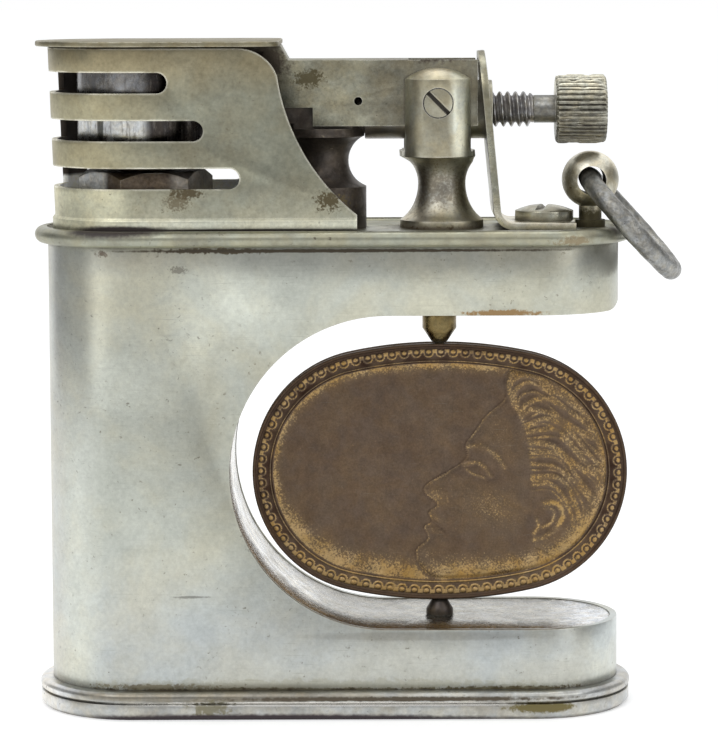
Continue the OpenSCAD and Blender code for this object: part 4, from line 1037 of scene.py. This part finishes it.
burnerX = sum(corner.x for corner in sizesOf("burner")) / 2
pillarX = sum(corner.x for corner in sizesOf("pivot_pillar")) / 2
screwLow, screwHigh = sizesOf("pivot_screws")
darkPlan = {"guardFacing": 0.5, "cupFacing": 0.3, "slotDepth": 0.12, "gapWidth": 0.16}


def paintFaces(name, finish, chosen):
    piece = bpy.data.objects[name]
    piece.data.materials.append(materials[finish])
    slot = len(piece.data.materials) - 1
    for face in piece.data.polygons:
        if chosen(face.center / mm, face.normal):
            face.material_index = slot


def facingIn(place, normal):  # 1 where a face looks straight at the burner's axis
    away = Vector((place.x - burnerX, place.y, 0)).normalized()
    return -normal.dot(away)


def insideGuard(place, normal):
    if normal.y * place.y < -darkPlan["guardFacing"] * abs(place.y):
        return True
    return place.x < burnerX and facingIn(place, normal) > darkPlan["guardFacing"]


def insideCup(place, normal):
    return facingIn(place, normal) > darkPlan["cupFacing"] or normal.z < -0.5


def onScrewMark(place, normal):  # painted shade on the slot's floor and in the gap round the head
    middle = (screwLow.z + screwHigh.z) / 2
    radius = (screwHigh.z - screwLow.z) / 2
    inGap = math.hypot(place.x - pillarX, place.z - middle) > radius - darkPlan["gapWidth"]
    return inGap or abs(place.y) < screwHigh.y - darkPlan["slotDepth"]


paintFaces("windGuardPiece", "sootyInside", insideGuard)
paintFaces("snufferCupPiece", "sootyInside", insideCup)
paintFaces("pivotScrewsPiece", "inkyLine", onScrewMark)
print("dark insides painted")


# Round pieces: rings of points placed one after another and joined

roundPoints = 48
alongX = Vector((1, 0, 0))


def eased(value, low, high):
    t = np.clip((value - low) / (high - low), 0, 1)
    return t * t * (3 - 2 * t)


def turnsOf(count):
    return [2 * math.pi * i / count for i in range(count)]


def onRing(x, radius, turn, height):
    return x, radius * math.cos(turn), height + radius * math.sin(turn)


def joinRings(name, rings, closed=False):
    count = len(rings[0])
    points = [tuple(spot) for ring in rings for spot in ring]
    faces = []
    for r in range(len(rings) if closed else len(rings) - 1):
        a, b = r * count, (r + 1) % len(rings) * count
        faces += [(a + i, a + (i + 1) % count, b + (i + 1) % count, b + i) for i in range(count)]
    if not closed:
        faces.append(tuple(range(count))[::-1])
        faces.append(tuple(range(len(points) - count, len(points))))
    mesh = bpy.data.meshes.new(name)
    mesh.from_pydata(points, [], faces)
    body = bmesh.new()
    body.from_mesh(mesh)
    bmesh.ops.recalc_face_normals(body, faces=body.faces)
    body.to_mesh(mesh)
    body.free()
    piece = added(name, mesh)
    shadeSmoothly(piece, 42)
    mesh.transform(toMetres)
    return piece


screwPlan = {
    "threadRadius": 1.25,
    "rootRadius": 0.93,
    "pitch": 0.55,
    "stepsPerTurn": 9,
    "runOut": (0.4, 0.35),  # the thread fades over these lengths at its ends
    "threadWear": 0.03,
    "neckRadius": 0.97,
    "neckLength": 1.51,
    "neckChamfer": 0.06,
    "overlap": (0.02, 0.1),  # how far the neck reaches into the thread and the knob
    "knobLength": 3.54,
    "faceInset": 1.1,
    "ridges": 40,
    "pointsPerRidge": 10,
    "grooveDepth": 0.2,
    "roundStep": 0.16,
    "crestWear": 0.09,
    "uneven": 0.03,
    "chip": 0.3,
}


def threadRings(plan, left, right, height):
    root = plan["rootRadius"]
    count = math.ceil((right - left) / (plan["pitch"] / plan["stepsPerTurn"]))
    middle = (plan["threadRadius"] + root) / 2
    depth = (plan["threadRadius"] - root) / 2
    rings = []
    for k in range(count + 1):
        x = left + (right - left) * k / count
        fade = min(1, (x - left) / plan["runOut"][0], (right - x) / plan["runOut"][1])
        ring = []
        for turn in turnsOf(roundPoints):
            wave = math.cos(2 * math.pi * (x / plan["pitch"]) - turn)
            worn = plan["threadWear"] * noise.noise(Vector((x * 2, math.cos(turn) * 2, math.sin(turn) * 2)))
            radius = middle + depth * math.copysign(abs(wave) ** 0.75, wave) - abs(worn)
            ring.append(onRing(x, root + (radius - root) * max(fade, 0), turn, height))
        rings.append(ring)
    return rings


def neckRings(plan, left, right, height):
    wide = plan["neckRadius"]
    profile = ((left, plan["rootRadius"]), (left + plan["neckChamfer"], wide), (right, wide))
    return [[onRing(x, radius, turn, height) for turn in turnsOf(roundPoints)] for x, radius in profile]


def knobRings(plan, left, height, radius):
    random.seed(11)
    steps = plan["pointsPerRidge"]
    crest = [random.uniform(-plan["crestWear"], 0.0) for _ in range(plan["ridges"])]
    drift = [random.uniform(-plan["uneven"], plan["uneven"]) for _ in range(plan["ridges"])]
    length, step, face = plan["knobLength"], plan["roundStep"], -plan["faceInset"]
    profile = [(0.0, face), (0.0, -step * 1.6), (step * 0.3, -step * 0.6), (step, -0.02)]
    profile += [(step + (length - 2.6 * step) * k / 14, 0.0) for k in range(15)]
    profile += [(length - step, -0.03), (length - step * 0.3, -step * 0.7)]
    profile += [(length, -step * 1.8), (length, face)]
    rings = []
    for along, inset in profile:
        ring = []
        for i in range(plan["ridges"] * steps):
            ridge, part = divmod(i, steps)
            share = (part + 0.5) / steps
            turn = 2 * math.pi * (i + 0.5) / (plan["ridges"] * steps) + drift[ridge] * 0.4
            groove = eased(abs(share - 0.5), 0.2, 0.42) * plan["grooveDepth"]
            nick = noise.noise(Vector((along * 1.6, ridge * 3.1, 0.7)))
            cut = groove - crest[ridge] + plan["chip"] * max(0.0, nick - 0.1)
            cut = min(cut, plan["grooveDepth"] + 0.05) * min(1, (radius + inset) / radius)
            ring.append(onRing(left + along, radius + inset - cut, turn, height))
        rings.append(ring)
    return rings


def joined(name, parts):
    body = bmesh.new()
    mesh = bpy.data.meshes.new(name)
    for part in parts:
        first = len(mesh.materials)
        for material in part.data.materials:
            mesh.materials.append(material)
        for face in part.data.polygons:
            face.material_index += first
        body.from_mesh(part.data)
    body.to_mesh(mesh)
    body.free()
    for part in parts:
        bpy.data.objects.remove(part)
    return added(name, mesh)


def makeFlintScrew(plan):
    low, high = sizesOf("flint_screw")
    height = (low.z + high.z) / 2
    knobLeft = high.x - plan["knobLength"]
    threadRight = knobLeft - plan["neckLength"]
    neckLeft, neckRight = threadRight - plan["overlap"][0], knobLeft + plan["overlap"][1]
    thread = joinRings("screwThread", threadRings(plan, low.x, threadRight, height))
    neck = joinRings("screwNeck", neckRings(plan, neckLeft, neckRight, height))
    knob = joinRings("screwKnob", knobRings(plan, knobLeft, height, (high.z - low.z) / 2))
    for part, finish in ((thread, "threadSteel"), (neck, "neckSteel"), (knob, "knobSteel")):
        part.data.materials.append(materials[finish])
    settle(joined("flintScrewPiece", [thread, neck, knob]), "flint_screw")


ringPlan = {
    "wire": 0.74,
    "radius": 4.35,
    "drop": 48,  # degrees
    "twist": 3.4,
    "around": 180,
    "sides": 28,
    "slack": 0.03,
    "broadDents": (0.9, 0.035),  # how close together, how deep
    "fineDents": (3.1, 0.015),
    "bulge": 0.02,
}


def makeChainRing(plan):
    low, high = sizesOf("chain_ring")
    middle = (low + high) / 2
    drop = math.radians(plan["drop"])
    hang = Vector((math.cos(drop), 0, -math.sin(drop)))
    side = Matrix.Rotation(math.radians(plan["twist"]), 3, hang) @ Vector((0, 1, 0))
    facing = hang.cross(side)
    (broad, broadDepth), (fine, fineDepth) = plan["broadDents"], plan["fineDents"]
    rings = []
    for turn in turnsOf(plan["around"]):
        out = hang * math.cos(turn) + side * math.sin(turn)
        spot = middle + out * plan["radius"]
        ring = []
        for bend in turnsOf(plan["sides"]):
            way = out * math.cos(bend) + facing * math.sin(bend)
            skin = spot + way
            dent = noise.noise(skin * broad) * broadDepth + noise.noise(skin * fine) * fineDepth
            ring.append(spot + way * (plan["wire"] - plan["slack"] - max(dent, -plan["bulge"])))
        rings.append(ring)
    settle(joinRings("chainRingPiece", rings, closed=True), "chain_ring", "ringSteel")


wickPlan = {"strands": 3, "turnLength": 7.0, "rowStep": 0.45, "core": 0.8, "fray": 0.05}


def makeWick(plan):
    low, high = sizesOf("wick")
    radius = (high.x - low.x) / 2
    centre = (low + high) / 2
    rings = []
    count = math.ceil((high.z - low.z) / plan["rowStep"])
    for k in range(count + 1):
        z = low.z + (high.z - low.z) * k / count
        ring = []
        for turn in turnsOf(roundPoints):
            lay = abs(math.sin(plan["strands"] * (turn - 2 * math.pi * z / plan["turnLength"]) / 2))
            yarn = noise.noise(Vector((turn * 3, z * 1.5, 2))) * plan["fray"]
            reach = radius * (plan["core"] + 0.2 * lay) - abs(yarn)
            ring.append((centre.x + reach * math.cos(turn), centre.y + reach * math.sin(turn), z))
        rings.append(ring)
    settle(joinRings("wickPiece", rings), "wick", "wickCotton")


springPlan = {"wire": 0.36, "coils": 6, "sides": 14, "perTurn": 48, "travel": 4.1}


def makeFlintSpring(plan):
    low, high = sizesOf("flint_spring")
    across = (high.z - low.z) / 2
    height = (low.z + high.z) / 2
    wire = plan["wire"]
    steps = plan["perTurn"] * plan["coils"]
    rings = []
    for k in range(steps + 1):
        turn = 2 * math.pi * k / plan["perTurn"]
        out = Vector((0, math.cos(turn), math.sin(turn)))
        x = low.x + wire / 2 + (high.x - low.x - wire) * k / steps
        spot = Vector((x, 0, height)) + out * (across - wire / 2)
        bends = turnsOf(plan["sides"])
        rings.append([spot + (out * math.cos(bend) + alongX * math.sin(bend)) * wire / 2 for bend in bends])
    spring = settle(joinRings("flintSpringPiece", rings), "flint_spring", "springSteel")
    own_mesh(spring)


waddingPlan = {"grid": 0.34, "sink": 0.12, "lump": (0.35, 0.42), "fluff": (1.3, 0.16)}


def makeWadding(plan):
    piece = keptShape("waddingPiece", "cotton_wadding")
    grid = piece.modifiers.new("grid", "REMESH")
    grid.mode = "VOXEL"
    grid.voxel_size = plan["grid"]
    applyModifiers(piece)
    (lump, lumpDepth), (fluff, fluffDepth) = plan["lump"], plan["fluff"]  # how close together, how deep
    body = bmesh.new()
    body.from_mesh(piece.data)
    body.normal_update()
    for corner in body.verts:
        sunk = abs(noise.noise(corner.co * lump)) * lumpDepth
        sunk += abs(noise.noise(corner.co * fluff)) * fluffDepth
        corner.co -= corner.normal * (plan["sink"] + sunk)
    body.to_mesh(piece.data)
    body.free()
    piece.data.shade_smooth()
    piece.data.transform(toMetres)
    settle(piece, "cotton_wadding", "cottonWool")


makeFlintScrew(screwPlan)
makeChainRing(ringPlan)
makeWick(wickPlan)
makeFlintSpring(springPlan)
makeWadding(waddingPlan)
print("round pieces ready")


# Medallion: rings of points from the rim to the middle, with the relief worked out at each point

medallionPlan = {
    "endRadius": 8.6,
    "levels": {"rim": 0.75, "border": 0.6, "field": 0.47},
    "rimWidth": 0.2,
    "rimRound": 0.14,
    "rimRings": 3,
    "borderStart": 0.17,
    "borderWidth": 1.15,
    "beads": 80,
    "stepsPerBead": 10,
    "borderRings": 25,
    "fieldRings": 84,
    "plainEvery": 14,  # the back's plain field takes one ring in this many
    "bead": {"depth": 0.58, "radius": 0.18, "height": 0.13},
    "arch": {"radius": 0.34, "width": 0.09, "height": 0.07},
    "ridge": {"depth": 1.24, "width": 0.08, "height": 0.05},
    "head": {
        "centre": (14.45, 13.93), "height": 15.6, "tilt": 26, "edge": 0.05, "swell": 0.13, "tallest": 0.265,
    },
    "wearAndShading": {  # below nought is dirt and painted shade, and 1 is bright metal with painted light
        "rim": -0.45, "rimEdge": -0.3, "hollow": -0.6, "most": 0.95, "beads": 1.5, "lines": 1.3,
        "lower": 0.75, "patches": 0.5, "back": 0.15,
    },
}

# Outline of a head in its own height, across and up from the chin: plain drawing-book proportions
headOutline = [
    (0.04, 1.02), (-0.12, 1.065), (-0.25, 1.08), (-0.36, 1.04), (-0.395, 0.965), (-0.352, 0.885),
    (-0.37, 0.82), (-0.395, 0.76), (-0.41, 0.67), (-0.42, 0.605),
    (-0.39, 0.555), (-0.425, 0.48), (-0.5, 0.365), (-0.485, 0.325), (-0.415, 0.305), (-0.435, 0.255),
    (-0.405, 0.222), (-0.425, 0.185), (-0.385, 0.145), (-0.41, 0.075), (-0.36, 0.01), (-0.27, -0.005),
    (-0.13, 0.04), (-0.11, -0.05), (-0.12, -0.3), (0.27, -0.3), (0.26, 0.1), (0.38, 0.35),
    (0.455, 0.58), (0.41, 0.8), (0.26, 0.95),
]
jawLine = [(-0.27, 0.0), (-0.12, 0.06), (0.0, 0.17), (0.05, 0.32)]

# Soft mounds and hollows of the head: place, spread, height in mm
headMounds = [
    ((-0.315, 0.535), (0.05, 0.03), -0.05),
    ((-0.33, 0.527), (0.022, 0.016), 0.05),
    ((-0.2, 0.4), (0.1, 0.07), 0.035),
    ((-0.43, 0.335), (0.03, 0.022), 0.035),
    ((-0.45, 0.4), (0.02, 0.06), 0.02),
    ((-0.36, 0.075), (0.045, 0.04), 0.03),
    ((-0.39, 0.245), (0.04, 0.014), 0.025),
    ((-0.385, 0.19), (0.035, 0.014), 0.025),
    ((-0.3, 0.7), (0.09, 0.08), 0.02),
    ((0.06, 0.44), (0.035, 0.07), -0.03),
]

# Lines of the head: width in mm, height in mm, how much it shines, points
headLines = [
    (0.22, 0.05, 0.8, [(-0.385, 0.52), (-0.345, 0.553), (-0.3, 0.55), (-0.255, 0.525)]),
    (0.18, 0.03, 0.5, [(-0.37, 0.508), (-0.33, 0.5), (-0.28, 0.508)]),
    (0.34, 0.045, 0.7, [(-0.41, 0.6), (-0.35, 0.632), (-0.27, 0.62), (-0.22, 0.59)]),
    (0.2, 0.03, 0.6, [(-0.4, 0.37), (-0.385, 0.335), (-0.4, 0.315)]),
    (0.17, -0.05, 0.0, [(-0.425, 0.221), (-0.38, 0.223), (-0.335, 0.214)]),
    (0.3, 0.03, 0.6, [(-0.4, 0.57), (-0.43, 0.48), (-0.49, 0.375)]),
    (0.36, 0.07, 1.0, [
        (0.02, 0.52), (0.07, 0.545), (0.115, 0.51), (0.115, 0.44), (0.085, 0.38), (0.05, 0.35),
    ]),
    (0.22, 0.04, 0.8, [(0.03, 0.5), (0.07, 0.51), (0.085, 0.46), (0.06, 0.42)]),
    (0.25, 0.05, 0.8, [(0.02, 0.44), (0.04, 0.41), (0.035, 0.375)]),
]

# Hair swept up over the forehead and back in long waves: guide lines from the front lock to the nape
hairPlan = {
    "hairline": [
        (-0.36, 0.885), (-0.28, 0.84), (-0.2, 0.77), (-0.15, 0.7), (-0.09, 0.6), (-0.035, 0.5), (-0.03, 0.42),
    ],
    "nape": [(0.15, 0.36), (0.17, 0.2), (0.19, 0.05)],
    "behind": [(0.6, 0.0), (0.6, 1.2), (-0.5, 1.2), (-0.5, 0.9)],
    "guides": [
        [
            (-0.3, 0.86), (-0.375, 0.94), (-0.36, 1.02), (-0.27, 1.065), (-0.14, 1.05), (-0.02, 0.99),
            (0.12, 0.985),
        ],
        [
            (-0.27, 0.84), (-0.31, 0.915), (-0.28, 0.985), (-0.19, 1.0), (-0.06, 0.95), (0.1, 0.93),
            (0.26, 0.9),
        ],
        [(-0.25, 0.82), (-0.22, 0.89), (-0.12, 0.92), (0.02, 0.88), (0.18, 0.86), (0.32, 0.78), (0.4, 0.66)],
        [(-0.2, 0.77), (-0.08, 0.83), (0.06, 0.79), (0.2, 0.76), (0.32, 0.66), (0.39, 0.54), (0.42, 0.42)],
        [(-0.15, 0.7), (-0.04, 0.74), (0.08, 0.7), (0.2, 0.66), (0.28, 0.56), (0.33, 0.44), (0.36, 0.3)],
        [(-0.1, 0.6), (0.0, 0.64), (0.1, 0.61), (0.19, 0.55), (0.24, 0.45), (0.28, 0.33), (0.29, 0.2)],
        [(-0.05, 0.52), (0.03, 0.57), (0.12, 0.55), (0.17, 0.47), (0.19, 0.37), (0.21, 0.26), (0.22, 0.12)],
    ],
    "locksBetween": 4,
    "wave": 0.016,
    "lift": 0.03,
    "strandDepth": 0.1,
    "sunk": 0.02,
    "gleam": {"crest": 1.15, "plain": 0.1, "between": 0.8},
}


def medallionRings(plan):
    low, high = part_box("medallion")
    middle = (low + high) / 2 / mm
    half = (high - low) / 2 / mm
    endMid = half.x - plan["endRadius"]
    rise = half.z - plan["endRadius"]
    flatMid = (endMid**2 - rise**2) / (2 * rise)
    flatRadius = flatMid + half.z
    meet = math.atan2(flatMid, endMid)
    arcs = [
        ((endMid, 0), plan["endRadius"], -meet, meet),
        ((0, -flatMid), flatRadius, meet, math.pi - meet),
        ((-endMid, 0), plan["endRadius"], math.pi - meet, math.pi + meet),
        ((0, flatMid), flatRadius, math.pi + meet, 2 * math.pi - meet),
    ]
    count = plan["beads"] * plan["stepsPerBead"]
    lengths = [(arc[1] - plan["bead"]["depth"]) * (arc[3] - arc[2]) for arc in arcs]
    pitch = sum(lengths) / plan["beads"]
    hubs, radii, turns = np.zeros((count, 2)), np.zeros(count), np.zeros(count)
    for i in range(count):
        along = (i + 0.5) / count * sum(lengths)
        for arc, length in zip(arcs, lengths):
            if along <= length:
                break
            along -= length
        hubs[i], radii[i] = arc[0], arc[1]
        turns[i] = arc[2] + (arc[3] - arc[2]) * along / length
    ways = np.column_stack([np.cos(turns), np.sin(turns)])
    phase = (((np.arange(count) + 0.5) / plan["stepsPerBead"]) % 1 - 0.5) * pitch
    return middle, hubs, radii, ways, phase


def noiseAt(spots, scale, level):
    return np.array([noise.noise(Vector((x * scale, y * scale, level))) for x, y in spots])


def borderRelief(depth, phase, plan):
    bead, arch, ridge, levels, wearAndShading = (plan[key] for key in ("bead", "arch", "ridge", "levels", "wearAndShading"))
    inward = depth - bead["depth"]
    around = np.hypot(phase, inward)
    dome = np.sqrt(np.clip(1 - (around / bead["radius"]) ** 2, 0, 1)) * bead["height"]
    reach = np.where(inward > 0, np.abs(around - arch["radius"]), np.abs(np.abs(phase) - arch["radius"]))
    bow = eased(-reach, -arch["width"], -arch["width"] * 0.3) * arch["height"]
    bow = bow * (depth < ridge["depth"]) * (depth > bead["depth"] - 0.2)
    line = eased(-np.abs(depth - ridge["depth"]), -ridge["width"], 0) * ridge["height"]
    step = eased(-depth, -plan["rimWidth"] - 0.06, -plan["rimWidth"] + 0.06)
    level = levels["border"] + step * (levels["rim"] - levels["border"])
    end = plan["rimWidth"] + plan["borderWidth"]
    level = level - eased(depth, end - 0.08, end) * (levels["border"] - levels["field"])
    rise = np.maximum(np.maximum(dome, bow), line) * (1 - step)
    shine = wearAndShading["beads"] * eased(dome, 0.02, 0.09)
    shine = shine + wearAndShading["lines"] * eased(np.maximum(bow, line), 0.015, 0.05) + wearAndShading["hollow"]
    shine = np.where(step > 0.5, wearAndShading["rim"], np.clip(shine, wearAndShading["hollow"], wearAndShading["most"]))
    return level + rise, shine


def smoothPath(points, closed=False, steps=6):
    points = [np.array(p, float) for p in points]
    count = len(points)
    result = []
    for i in range(count if closed else count - 1):
        if closed:
            a, b, c, d = (points[(i + k) % count] for k in (-1, 0, 1, 2))
        else:
            a, b, c, d = points[max(i - 1, 0)], points[i], points[i + 1], points[min(i + 2, count - 1)]
        square = 2 * a - 5 * b + 4 * c - d
        cube = 3 * b - a - 3 * c + d
        for k in range(steps):
            t = k / steps
            result.append(0.5 * (2 * b + (c - a) * t + square * t**2 + cube * t**3))
    if not closed:
        result.append(points[-1])
    return np.array(result)


def distanceTo(path, spots, closed=False):
    nearest = np.full(len(spots), 1e9)
    ends = np.roll(path, -1, axis=0) if closed else path[1:]
    for start, end in zip(path, ends):
        run = end - start
        t = np.clip(((spots - start) @ run) / max(run @ run, 1e-12), 0, 1)
        nearest = np.minimum(nearest, np.hypot(*(spots - start - t[:, None] * run).T))
    return nearest


def insideOf(path, spots):
    inside = np.zeros(len(spots), bool)
    for (x1, y1), (x2, y2) in zip(path, np.roll(path, -1, axis=0)):
        crosses = (y1 > spots[:, 1]) != (y2 > spots[:, 1])
        inside ^= crosses & (spots[:, 0] < (x2 - x1) * (spots[:, 1] - y1) / (y2 - y1 + 1e-12) + x1)
    return inside


def hairLocks(plan):
    random.seed(7)
    guides = [smoothPath(guide) for guide in plan["guides"]]
    locks = []
    for first, second in zip(guides, guides[1:]):
        for k in range(plan["locksBetween"]):
            share = (k + random.uniform(-0.2, 0.2)) / plan["locksBetween"]
            path = first * (1 - share) + second * share
            run = np.linspace(0, 1, len(path))
            swing = plan["wave"] * np.sin(2 * math.pi * (random.uniform(1.1, 1.9) * run + random.random()))
            heading = np.gradient(path, axis=0)
            heading /= np.hypot(*heading.T)[:, None]
            path = path + (swing * np.minimum(1, 5 * run))[:, None] * heading[:, ::-1] * (-1, 1)
            width = random.uniform(0.2, 0.3) if k % 2 else random.uniform(0.34, 0.5)
            locks.append((path, width, random.uniform(0.45, 0.75) if k % 2 else 1.0))
    return locks


def faceRelief(part, edge, head):
    size = head["height"]
    skin = head["edge"] * eased(edge, 0, 0.3) + head["swell"] * (1 - np.exp(-edge / 1.6))
    tone = np.zeros(len(part))  # lighter on the mounds, darker in the hollows: painted light and shade that brings out the relief
    for place, spread, height in headMounds:
        across, up = (part[:, 0] - place[0]) / spread[0], (part[:, 1] - place[1]) / spread[1]
        mound = height * np.exp(-(across**2 + up**2) / 2)
        skin += mound
        tone += 9 * mound
    jaw = smoothPath(jawLine)
    underJaw = insideOf(np.vstack([jaw, [(0.3, 0.32), (0.3, -0.4), (-0.27, -0.4)]]), part)
    skin -= 0.06 * eased(distanceTo(jaw, part) * size * np.where(underJaw, 1, -1), -0.05, 0.6)
    return skin, 0.36 * eased(-edge, -0.22, -0.02) + 0.12 * eased(skin, 0.14, 0.25) + tone


def hairRelief(part, fine, size, plan):
    scalp = np.vstack([smoothPath(plan["hairline"]), smoothPath(plan["nape"]), plan["behind"]])
    hair = insideOf(scalp, part)
    hairEdge = distanceTo(scalp, part, closed=True) * size
    strands, crests = np.zeros(len(part)), np.zeros(len(part))
    for path, width, strength in hairLocks(plan):
        away = distanceTo(path, part) * size
        strands = np.maximum(strands, eased(-away, -width, 0.0) * strength)
        crests = np.maximum(crests, eased(-away, -0.5 * width, -0.15 * width) * strength)
    strands = np.where(hair, np.clip(strands * (0.9 + 0.9 * fine), 0, 1), 0)
    lift = plan["lift"] * np.where(hair, eased(hairEdge, 0, 0.3), 0)
    lively = np.clip(0.75 + 1.1 * fine, 0.2, 1.1)
    gleam = plan["gleam"]
    # painted shade between the strands, painted highlight on their crests
    dark = gleam["between"] * eased(-strands, -0.4, 0) * eased(hairEdge, 0, 0.4)
    glow = gleam["crest"] * crests * lively + gleam["plain"] - dark
    return hair, lift, plan["strandDepth"] * strands - plan["sunk"] * np.where(hair, 1, 0), glow


def headRelief(spots, head):
    size = head["height"]
    tilt = math.radians(head["tilt"])
    across = np.array((math.cos(tilt), -math.sin(tilt)))
    up = np.array((math.sin(tilt), math.cos(tilt)))
    local = np.column_stack([(spots - head["centre"]) @ across, (spots - head["centre"]) @ up]) / size
    local[:, 1] += 0.5
    near = (local[:, 0] > -0.56) & (local[:, 1] < 1.12)
    part = local[near]
    outline = smoothPath(headOutline, closed=True, steps=5)
    edge = distanceTo(outline, part, closed=True) * size
    inside = insideOf(outline, part)
    fine = noiseAt(part, 18, 1.7)
    skin, glow = faceRelief(part, edge, head)
    hair, lift, strands, hairGlow = hairRelief(part, fine, size, hairPlan)
    skin += lift
    skin += strands
    glow = np.where(hair, hairGlow, glow)
    for width, height, bright, points in headLines:
        line = eased(-(distanceTo(smoothPath(points), part) * size), -width, 0)
        skin += height * line
        glow = np.maximum(glow, line * bright * (0.5 + 0.7 * np.clip(fine + 0.3, 0, 1)))
        if height < 0:
            glow = np.minimum(glow, -0.5 * line + 0.5 * (1 - line))
    rise, shine = np.zeros(len(spots)), np.zeros(len(spots))
    rise[near] = np.where(inside, np.clip(skin, 0, head["tallest"]), 0)
    # painted shade in a band just outside the head's outline
    shine[near] = np.where(inside, glow, -0.4 * eased(-edge, -0.2, 0))
    return rise, shine


# Rows of the medallion, from the rim inwards: places across and up, distance from the middle plane, shine

def borderRows(plan, centre, hubs, radii, ways, phase):
    rows = []
    wearAndShading, rim, rounding = plan["wearAndShading"], plan["levels"]["rim"], plan["rimRound"]
    for i in range(plan["rimRings"]):
        turn = (i + 1) / plan["rimRings"] * math.pi / 2
        flat = hubs + ways * (radii - rounding * (1 - math.sin(turn)))[:, None]
        level = np.full(len(radii), rim - rounding * math.cos(turn))
        rows.append((flat + centre, level, np.full(len(radii), wearAndShading["rimEdge"])))
    start, end = plan["borderStart"], plan["rimWidth"] + plan["borderWidth"]
    for i in range(plan["borderRings"]):
        depth = start + (end - start) * i / (plan["borderRings"] - 1)
        level, shine = borderRelief(depth, phase, plan)
        flat = hubs + ways * (radii - depth)[:, None]
        lower = eased(-flat[:, 1], 3, 8) * eased(depth, 0.2, 0.35)
        rubbed = noiseAt(flat, 1.1, 2.2) * (depth > 0.4)
        rows.append((flat + centre, level, shine + wearAndShading["lower"] * lower + wearAndShading["patches"] * rubbed))
    return rows


def fieldRows(plan, centre, edge):
    count = len(edge)
    shares = [1 - i / plan["fieldRings"] for i in range(1, plan["fieldRings"])]
    spots = np.vstack([edge * share + centre for share in shares])
    rise, shine = headRelief(spots, plan["head"])
    fromBorder = np.hypot(*(np.vstack([edge] * len(shares)) + centre - spots).T)
    level = plan["levels"]["field"] + rise * eased(fromBorder, 0.0, 0.35)
    low = eased(-(spots[:, 1] - centre[1]), 0, 6)
    ring = eased(-fromBorder, -(1.0 + 1.7 * low), 0.1)
    ring = ring * np.clip(0.74 + 0.08 * low + 0.5 * noiseAt(spots, 0.8, 4.2), 0, 0.88)
    shine = np.where(shine < 0, shine + ring, np.maximum(shine, ring))
    starts = range(0, len(spots), count)
    return [tuple(values[first : first + count] for values in (spots, level, shine)) for first in starts]


def addSide(points, wearAndShading, faces, rows, centre, middleY, side, field):
    first = len(points)
    count = len(rows[0][0])
    for place, level, bright in rows:
        points += [(x, middleY + side * height, z) for (x, z), height in zip(place, level)]
        wearAndShading += list(bright)
    points.append((centre[0], middleY + side * field, centre[1]))
    wearAndShading.append(0.0)
    found = []
    for a in range(first, len(points) - 1 - count, count):
        b = a + count
        found += [(a + i, b + i, b + (i + 1) % count, a + (i + 1) % count) for i in range(count)]
    tip = len(points) - 1
    a = tip - count
    found += [(a + i, tip, a + (i + 1) % count) for i in range(count)]
    faces += found if side < 0 else [face[::-1] for face in found]


def makeMedallion(plan):
    middle, hubs, radii, ways, phase = medallionRings(plan)
    count = len(radii)
    centre = np.array((middle.x, middle.z))
    field = plan["levels"]["field"]
    border = borderRows(plan, centre, hubs, radii, ways, phase)
    carved = fieldRows(plan, centre, border[-1][0] - centre)
    plainLevel, plainShine = np.full(count, field), np.full(count, plan["wearAndShading"]["back"])
    plain = [(place, plainLevel, plainShine) for place, _, _ in carved[:: plan["plainEvery"]]]
    points, wearAndShading, faces = [], [], []
    addSide(points, wearAndShading, faces, border + carved, centre, middle.y, -1, field)
    back = len(points)
    addSide(points, wearAndShading, faces, border + plain, centre, middle.y, 1, field)
    faces += [(i, (i + 1) % count, back + (i + 1) % count, back + i) for i in range(count)]
    mesh = bpy.data.meshes.new("medallionPiece")
    mesh.from_pydata(points, [], faces)
    mesh.transform(toMetres)
    layer = mesh.attributes.new("wearAndShading", "FLOAT", "POINT")
    layer.data.foreach_set("value", np.array(wearAndShading, np.float32))
    mesh.shade_smooth()
    settle(added("medallionPiece", mesh), "medallion", "agedBronze")


makeMedallion(medallionPlan)
print("medallion ready")
